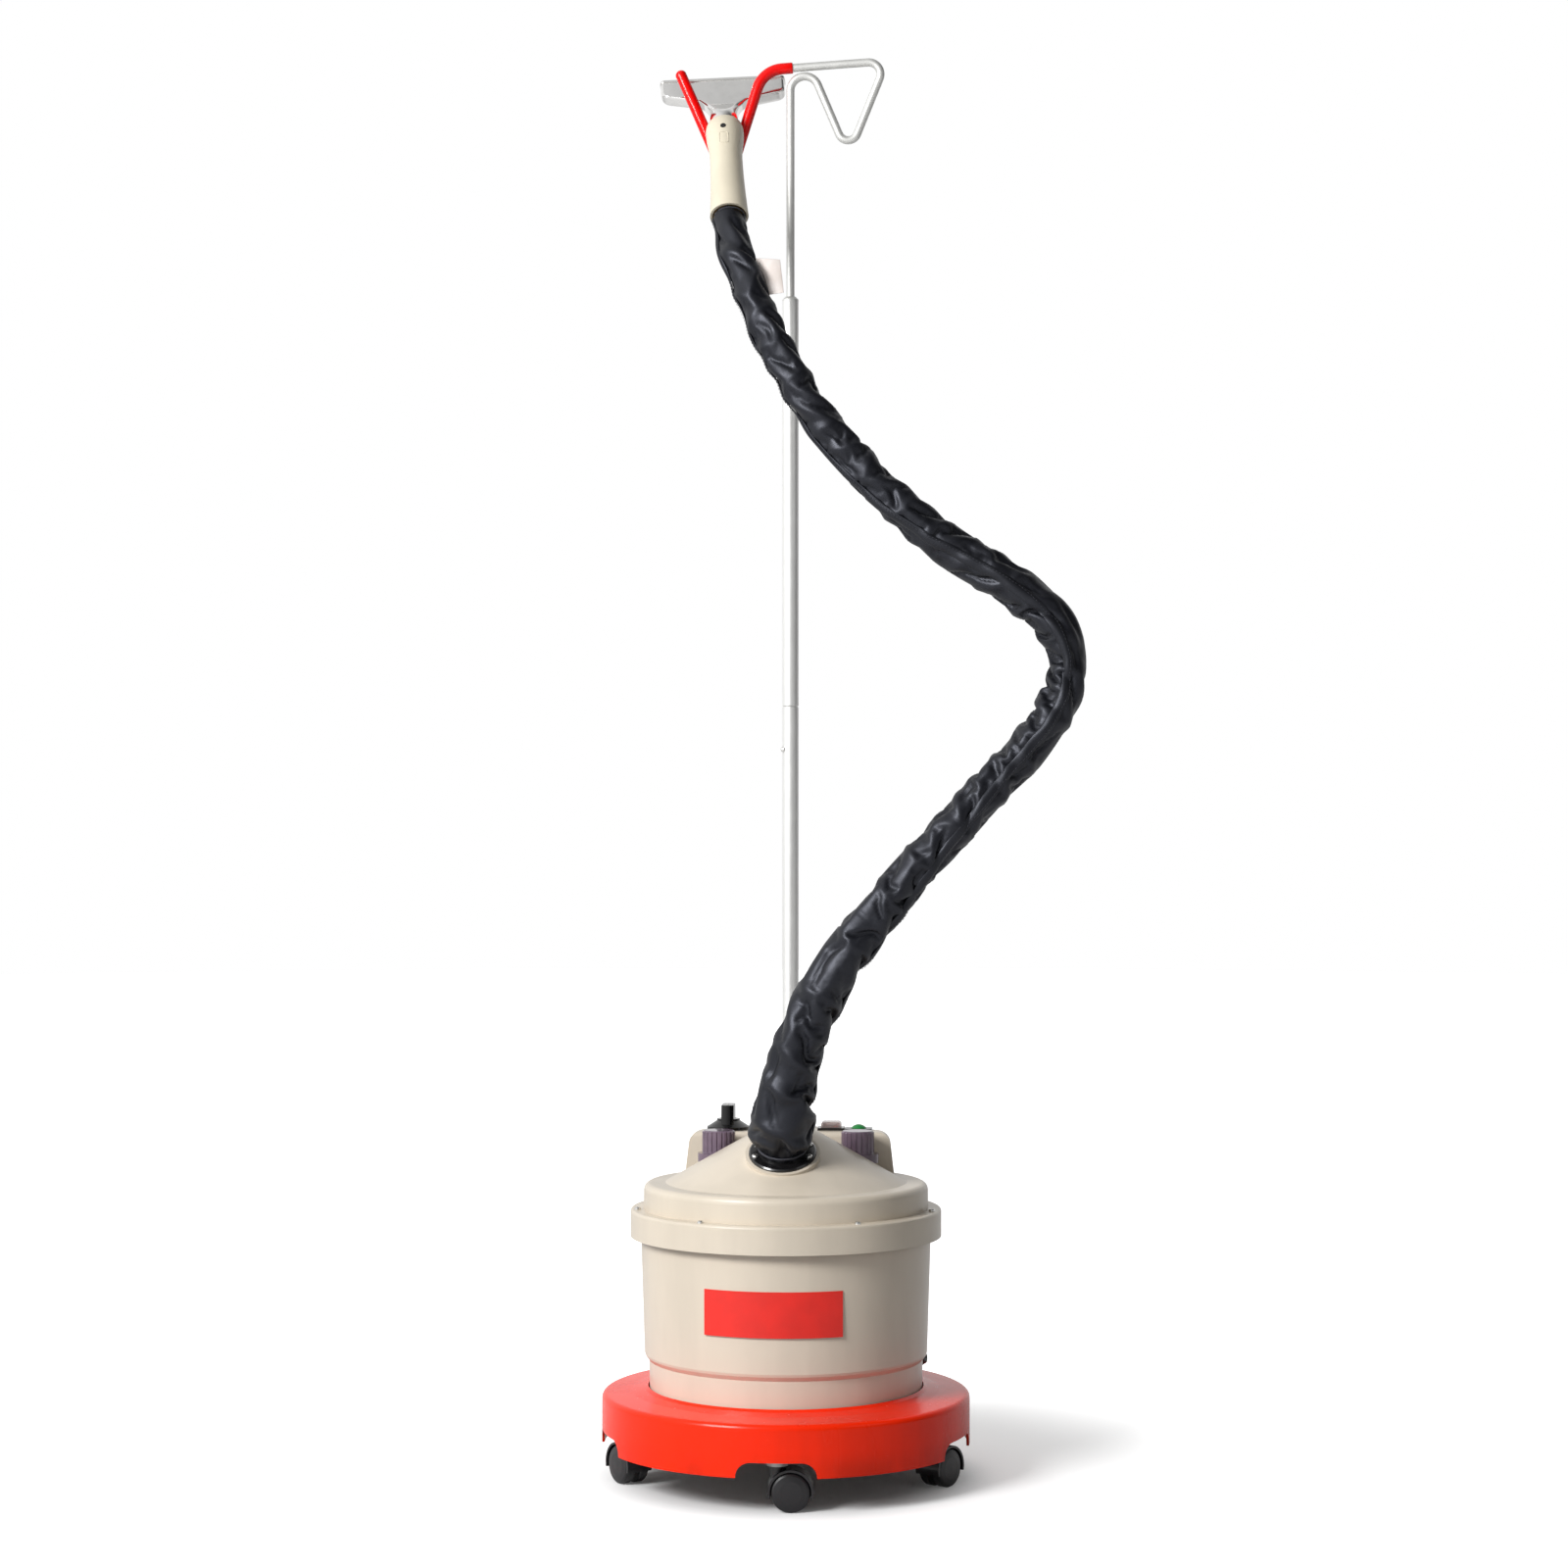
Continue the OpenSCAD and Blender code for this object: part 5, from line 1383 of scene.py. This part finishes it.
@dataclass
class SteamHead:
    """The polished fish-tail head, a loft from its round neck to its wide flat end."""

    neck: float = 16.5
    flare: tuple[float, float] = (45, 29)
    wing: tuple[float, float] = (53, 9)
    width: float = 73.0
    thickness: float = 15.0
    wall: float = 2.5
    level: float = math.radians(4.7)
    corner_steps: int = 9
    side_steps: int = 10

    def half_width(self, s: float) -> float:
        """Half the width at this distance above the handle's rim."""
        end, corner = self.wing
        turn = end + corner
        low, wide = self.flare
        if s <= low:
            return self.neck + (wide - self.neck) * max(0, (s - 10) / (low - 10)) ** 3.2
        if s <= end:
            return wide + (self.width - corner - wide) * (s - low) / (end - low)
        if s < turn:
            return self.width - corner + math.sqrt(corner**2 - (turn - s) ** 2)
        return self.width

    def ring(self, s: float, inset: float) -> Points:
        """One ring of the loft in the handset's own frame.

        Args:
            s: Distance above the handle's rim, in millimetres.
            inset: How far the ring lies inside the outer skin.

        Returns:
            Points in millimetres.
        """
        share = float(eased(s / self.flare[0]))
        deep = self.neck + (self.thickness / 2 - self.neck) * share - inset
        wide = min(self.half_width(s) - inset, self.half_width(s - inset))
        soft = max(1.0, self.neck - 0.05 + (4 - self.neck) * share - inset)
        middle = (1 + self.thickness / 2) * float(eased((s - 3) / (self.flare[0] - 3)))
        corners = corner_arcs((wide, deep), soft, self.corner_steps)
        between = np.linspace(0, 1, self.side_steps + 2)[1:-1, None]
        joined = []
        for here, after in zip(corners, corners[1:] + corners[:1]):
            joined += [here, here[-1] + (after[0] - here[-1]) * between]
        flat = np.vstack(joined)
        height = s - flat[:, 0] * math.tan(self.level) * share
        return np.c_[flat[:, 0], middle + flat[:, 1], height]

    def stations(self) -> list[float]:
        """Distances at which the loft has a ring, closer where it bends most."""
        end, corner = self.wing
        neck = list(np.linspace(-6, 38, 30))
        flare = [40, 42, 43.5, 44.6, 45, 45.4, 47, 49, 51, 52.5, end]
        bend = list(end + corner * (1 - np.cos(np.linspace(0.12, math.pi / 2, 12))))
        face = [64, 67, 70, 72.6, 73.0, 73.4, 73.8, 74.2, 75.2, 75.7, 76]
        return neck + flare + bend + face

    def in_place(self, rings: Points) -> Points:
        """Turns points of the handset's frame, in millimetres, into the part's, in metres."""
        lean = Matrix.Rotation(ROLL, 3, "Y") @ Matrix.Rotation(-TILT, 3, "X")
        return NECK + rings @ np.array(lean).T / 1000

    def build(self) -> bpy.types.Object:
        """Makes the head's shell.

        Returns:
            The shell.
        """
        groove = {73.0: 0.0, 73.4: 0.35, 73.8: 0.35, 74.2: 0.0, 75.7: 0.15, 76: 0.5}
        outer = [self.ring(s, groove.get(s, 0.0)) for s in self.stations()]
        inside = (76, 70, 62, 56, 53, 49, 45, 40, 34, 26, 16, 6, -6)
        inner = [self.ring(s, self.wall) for s in inside]
        rings = np.array(outer + inner)
        count = rings.shape[1]
        faces = grid_faces(len(rings), count)
        last = (len(rings) - 1) * count
        faces += [(last + k, last + (k + 1) % count, (k + 1) % count, k) for k in range(count)]
        shell = piece("polished_head", self.in_place(rings), faces, Looks.CHROME, "handset")
        shell.data.set_sharp_from_angle(angle=math.radians(38))
        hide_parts("head_shell")
        return shell


# ---------------------------------------------------------------- fine parts


@dataclass
class HandleTrim:
    """The small moulded frame under the handle's screw."""

    width: float = 0.0105
    height: float = 0.015
    below_rim: float = 0.0365
    corner: float = 0.0022
    bar: float = 0.0005

    def build(self, head: SteamHead) -> bpy.types.Object:
        """Makes the frame as a thin raised line that hugs the handle."""
        half = (self.width / 2, self.height / 2)
        flat = np.vstack(corner_arcs(half, self.corner, 6)) * 1000
        flat = np.vstack([
            flat[i] + (flat[(i + 1) % len(flat)] - flat[i]) * t
            for i in range(len(flat)) for t in (0, 0.25, 0.5, 0.75)
        ])
        s = flat[:, 1] - self.below_rim * 1000
        radius = self.girth(-s)
        around = flat[:, 0] / radius
        points = np.c_[radius * np.sin(around), -radius * np.cos(around), s]
        line = head.in_place(points)
        frame_bar = bar("handle_frame", line, self.bar, 8, Looks.HANDLE, "handset", closed=True)
        return frame_bar

    @staticmethod
    def girth(below: Points) -> Points:
        """The handle's radius this far below its rim, in millimetres."""
        dome, waist_at, full, waist = 13.0, 52.0, 22.0, 18.75
        share = np.clip((below - dome) / (waist_at - dome), 0, 1)
        return full + (waist - full) * (1 - np.cos(np.pi * share)) / 2


@dataclass
class DialMark:
    """The white pointer line on the dial's grip."""

    inner: float = 0.003
    outer: float = 0.0115
    radius: float = 0.0007

    def build(self) -> bpy.types.Object:
        """Makes the pointer, a thin inlaid bar from the grip's middle to its edge."""
        low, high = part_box("heat_dial")
        x, y, top = (low.x + high.x) / 2, (low.y + high.y) / 2, high.z
        line = [(x, y - self.inner, top), (x, y - self.outer, top)]
        pointer = bar("dial_pointer", line, self.radius, 8, Looks.WHITE, "heat_dial")
        return pointer


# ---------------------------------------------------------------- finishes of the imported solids

DRESS: dict[Looks, tuple[str, ...]] = {
    Looks.COVER: ("base_cover",),
    Looks.CASE: ("bucket", "lid", "control_box"),
    Looks.HANDLE: ("handle",),
    Looks.CASTOR: tuple(f"castor_hood_{i}" for i in range(1, 6)),
    Looks.TREAD: tuple(f"castor_wheels_{i}" for i in range(1, 6)),
    Looks.RUBBER: ("lid_gasket", "filler_seal", "relief_seal", "handle_screw"),
    Looks.NECK: ("filler_neck", "relief_neck"),
    Looks.STEEL_PLATE: ("base_chassis", "heater_flange"),
    Looks.TUBE: ("lower_tube", "upper_tube"),
    Looks.ROD: ("rod_bush",),
    Looks.CHROME: ("head_plate",),
    Looks.SCREW: ("base_screws", "collar_screws", "outlet_screws", "snap_button"),
    Looks.STAINLESS: (
        "castor_sockets", "heating_element", "cutout_probe", "level_probe", "joint_plug",
        "steam_tube",
    ),
    Looks.BRASS: ("outlet_pipe", "hose_coupling"),
    Looks.SMOKE: ("filler_cap", "relief_cap"),
    Looks.BOOT: ("switch_boot",),
    Looks.LENS: ("lamp_lens",),
    Looks.BLACK: (
        "outlet_ring", "cord_gland", "heat_regulator", "rocker_bezel", "lamp_bezel",
        "pole_socket",
    ),
    Looks.DIAL: ("heat_dial",),
    Looks.ROCKER: ("power_rocker",),
    Looks.PANEL: ("name_panel",),
    Looks.SPRING: ("button_spring",),
}


def dress_solids() -> None:
    """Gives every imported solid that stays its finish."""
    for look, nodes in DRESS.items():
        for node in nodes:
            for place in frame["nodes"][node].material_slots:
                place.material = look.material()
    LOG.info("dressed %d packed solids", sum(len(nodes) for nodes in DRESS.values()))


# ---------------------------------------------------------------- the studio


@dataclass
class Studio:
    """A white floor that keeps the soft shadow, two soft lights and the camera."""

    distance: float = 3.457
    height: float = 0.740
    turn: float = math.radians(3)
    lens: float = 70.0
    shift: tuple[float, float] = (-0.00125, 0.025)
    floor_radius: float = 12.0
    sky: tuple[float, float] = (0.10, 0.68)
    mirror: tuple[float, float] = (0.06, 1.0)
    key: float = 122.0
    fill: float = 4.0
    lift: float = 0.34
    bounce: float = 0.42
    mirrored: float = 0.35

    def place_camera(self) -> None:
        """Sets the camera in front, a little below the middle of the part's height."""
        right = Vector((math.cos(self.turn), math.sin(self.turn), 0))
        ahead = Vector((-math.sin(self.turn), math.cos(self.turn), 0))
        data = bpy.data.cameras.new("view")
        data.lens, data.sensor_width = self.lens, 36.0
        data.shift_x, data.shift_y = self.shift
        camera = bpy.data.objects.new("view", data)
        where = -ahead * self.distance + Vector((0, 0, self.height))
        camera.matrix_world = Matrix((
            (right.x, 0, -ahead.x, where.x),
            (right.y, 0, -ahead.y, where.y),
            (right.z, 1, -ahead.z, where.z),
            (0, 0, 0, 1),
        ))
        bpy.context.scene.collection.objects.link(camera)
        bpy.context.scene.camera = camera

    def lay_floor(self) -> None:
        """Makes the floor: lit cloth near the part, with a painted shadow darkening its colour
        under the part, plain white further out.
        """
        mesh = bpy.data.meshes.new("studio_floor")
        angles = np.linspace(0, 2 * math.pi, 96, endpoint=False)
        rings = [np.c_[r * np.cos(angles), r * np.sin(angles), 0 * angles]
                 for r in (0.02, 0.6, 2.0, self.floor_radius)]
        mesh.from_pydata(np.vstack(rings).tolist(), [], [
            tuple(reversed(f)) for f in grid_faces(4, 96)] + [tuple(range(96))])
        floor = bpy.data.objects.new("studio_floor", mesh)
        bpy.context.scene.collection.objects.link(floor)
        material = bpy.data.materials.new("studio_floor")
        material.use_nodes = True
        board = Board(material.node_tree)
        indirect = board.ray("Glossy").math("MAXIMUM", board.ray("Transmission"))
        seen = board.ray("Camera").math("MAXIMUM", indirect * self.mirrored)
        spot = board.node("ShaderNodeTexCoord", {}, {}, "Object")
        reach = board.node("ShaderNodeVectorMath", {"operation": "LENGTH"}, {0: spot}, "Value")
        glow = reach.between(0.34, 0.72) * (1 - self.lift) + reach.between(0.15, 0.25) * self.lift
        glow = glow * seen
        dim, white = (*[self.bounce] * 3, 1), (0.95, 0.95, 0.95, 1)
        # Painted shadow: for camera rays the floor's colour darkens from 0.26 m in towards the
        # middle, under the part.
        share = seen * (reach.between(0.08, 0.26) * 0.6 + 0.4)
        board.surface(
            Base_Color=board.blend(dim, white, share), Roughness=0.8,
            Emission_Color=board.grey(glow), Emission_Strength=1.0,
        )
        mesh.materials.append(material)
        floor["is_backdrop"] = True

    def hang_lights(self) -> None:
        """Hangs a large soft key at the front left and a weak fill at the right."""
        for name, where, size, power in (
            ("key", (-2.0, -2.3, 2.15), 1.3, self.key),
            ("fill", (2.2, -1.6, 1.5), 1.6, self.fill),
        ):
            data = bpy.data.lights.new(name, "AREA")
            data.shape, data.size, data.energy = "DISK", size, power
            lamp = bpy.data.objects.new(name, data)
            aim = Vector((0, 0, 0.6)) - Vector(where)
            lamp.rotation_euler = aim.to_track_quat("-Z", "Y").to_euler()
            lamp.location = where
            bpy.context.scene.collection.objects.link(lamp)

    def paint_sky(self) -> None:
        """White where the camera looks, softer where it lights, dim behind the camera."""
        world = bpy.data.worlds.new("studio")
        bpy.context.scene.world = world
        world.use_nodes = True
        board = Board(world.node_tree)
        glossy = board.ray("Glossy").math("MAXIMUM", board.ray("Transmission"))
        way = board.node("ShaderNodeTexCoord", {}, {}, "Generated")
        left = 1.0 - board.part(way, "X").between(-0.7, 0.6)
        backdrop = board.part(way, "Y").between(0.1, 0.7)
        low, high = self.sky
        soft = left * (high - low) + low
        low, high = self.mirror
        shown = left.math("MAXIMUM", backdrop * 0.85) * (high - low) + low
        light = glossy * shown + (1.0 - glossy) * soft
        grey = board.grey(board.ray("Camera").math("MAXIMUM", light))
        back = board.node("ShaderNodeBackground", {}, {"Color": grey, "Strength": 1.0})
        board.node("ShaderNodeOutputWorld", {}, {"Surface": back})

    def build(self) -> None:
        """Sets up the whole studio."""
        self.place_camera()
        self.lay_floor()
        self.hang_lights()
        self.paint_sky()
        bpy.context.scene.view_settings.view_transform = "Standard"


def hang_between(*pieces: bpy.types.Object) -> None:
    """Bakes the place of each hose piece that rides on no body into its points.

    Args:
        pieces: Finished pieces. Those that ride on a body already are left as they are.
    """
    for hung in pieces:
        if hung.parent is None:
            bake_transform(hung)


def main() -> None:
    """Builds every piece in order and works out the size before and after."""
    logging.basicConfig(level=logging.INFO, format="%(message)s")
    Studio().build()
    line = HoseLine()
    hose = SteamHose(line)
    core = hose.build()
    sleeve = HoseSleeve(line)
    trim = SleeveTrim(sleeve)
    cloth = [sleeve.build(), *trim.flap(), *trim.hems(), CareLabel(sleeve).build()]
    hang_between(core, *cloth)
    tuple(line.at(np.array([0.0]))[0])
    hose.path()
    Hook().build()
    head = SteamHead()
    head.build()
    HandleTrim().build(head)
    DialMark().build()
    dress_solids()
    sizes = {"cad": CAD_BOX, "scene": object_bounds()}
    {k: [[float(v) for v in c] for c in box] for k, box in sizes.items()}


if __name__ == "__main__":
    main()
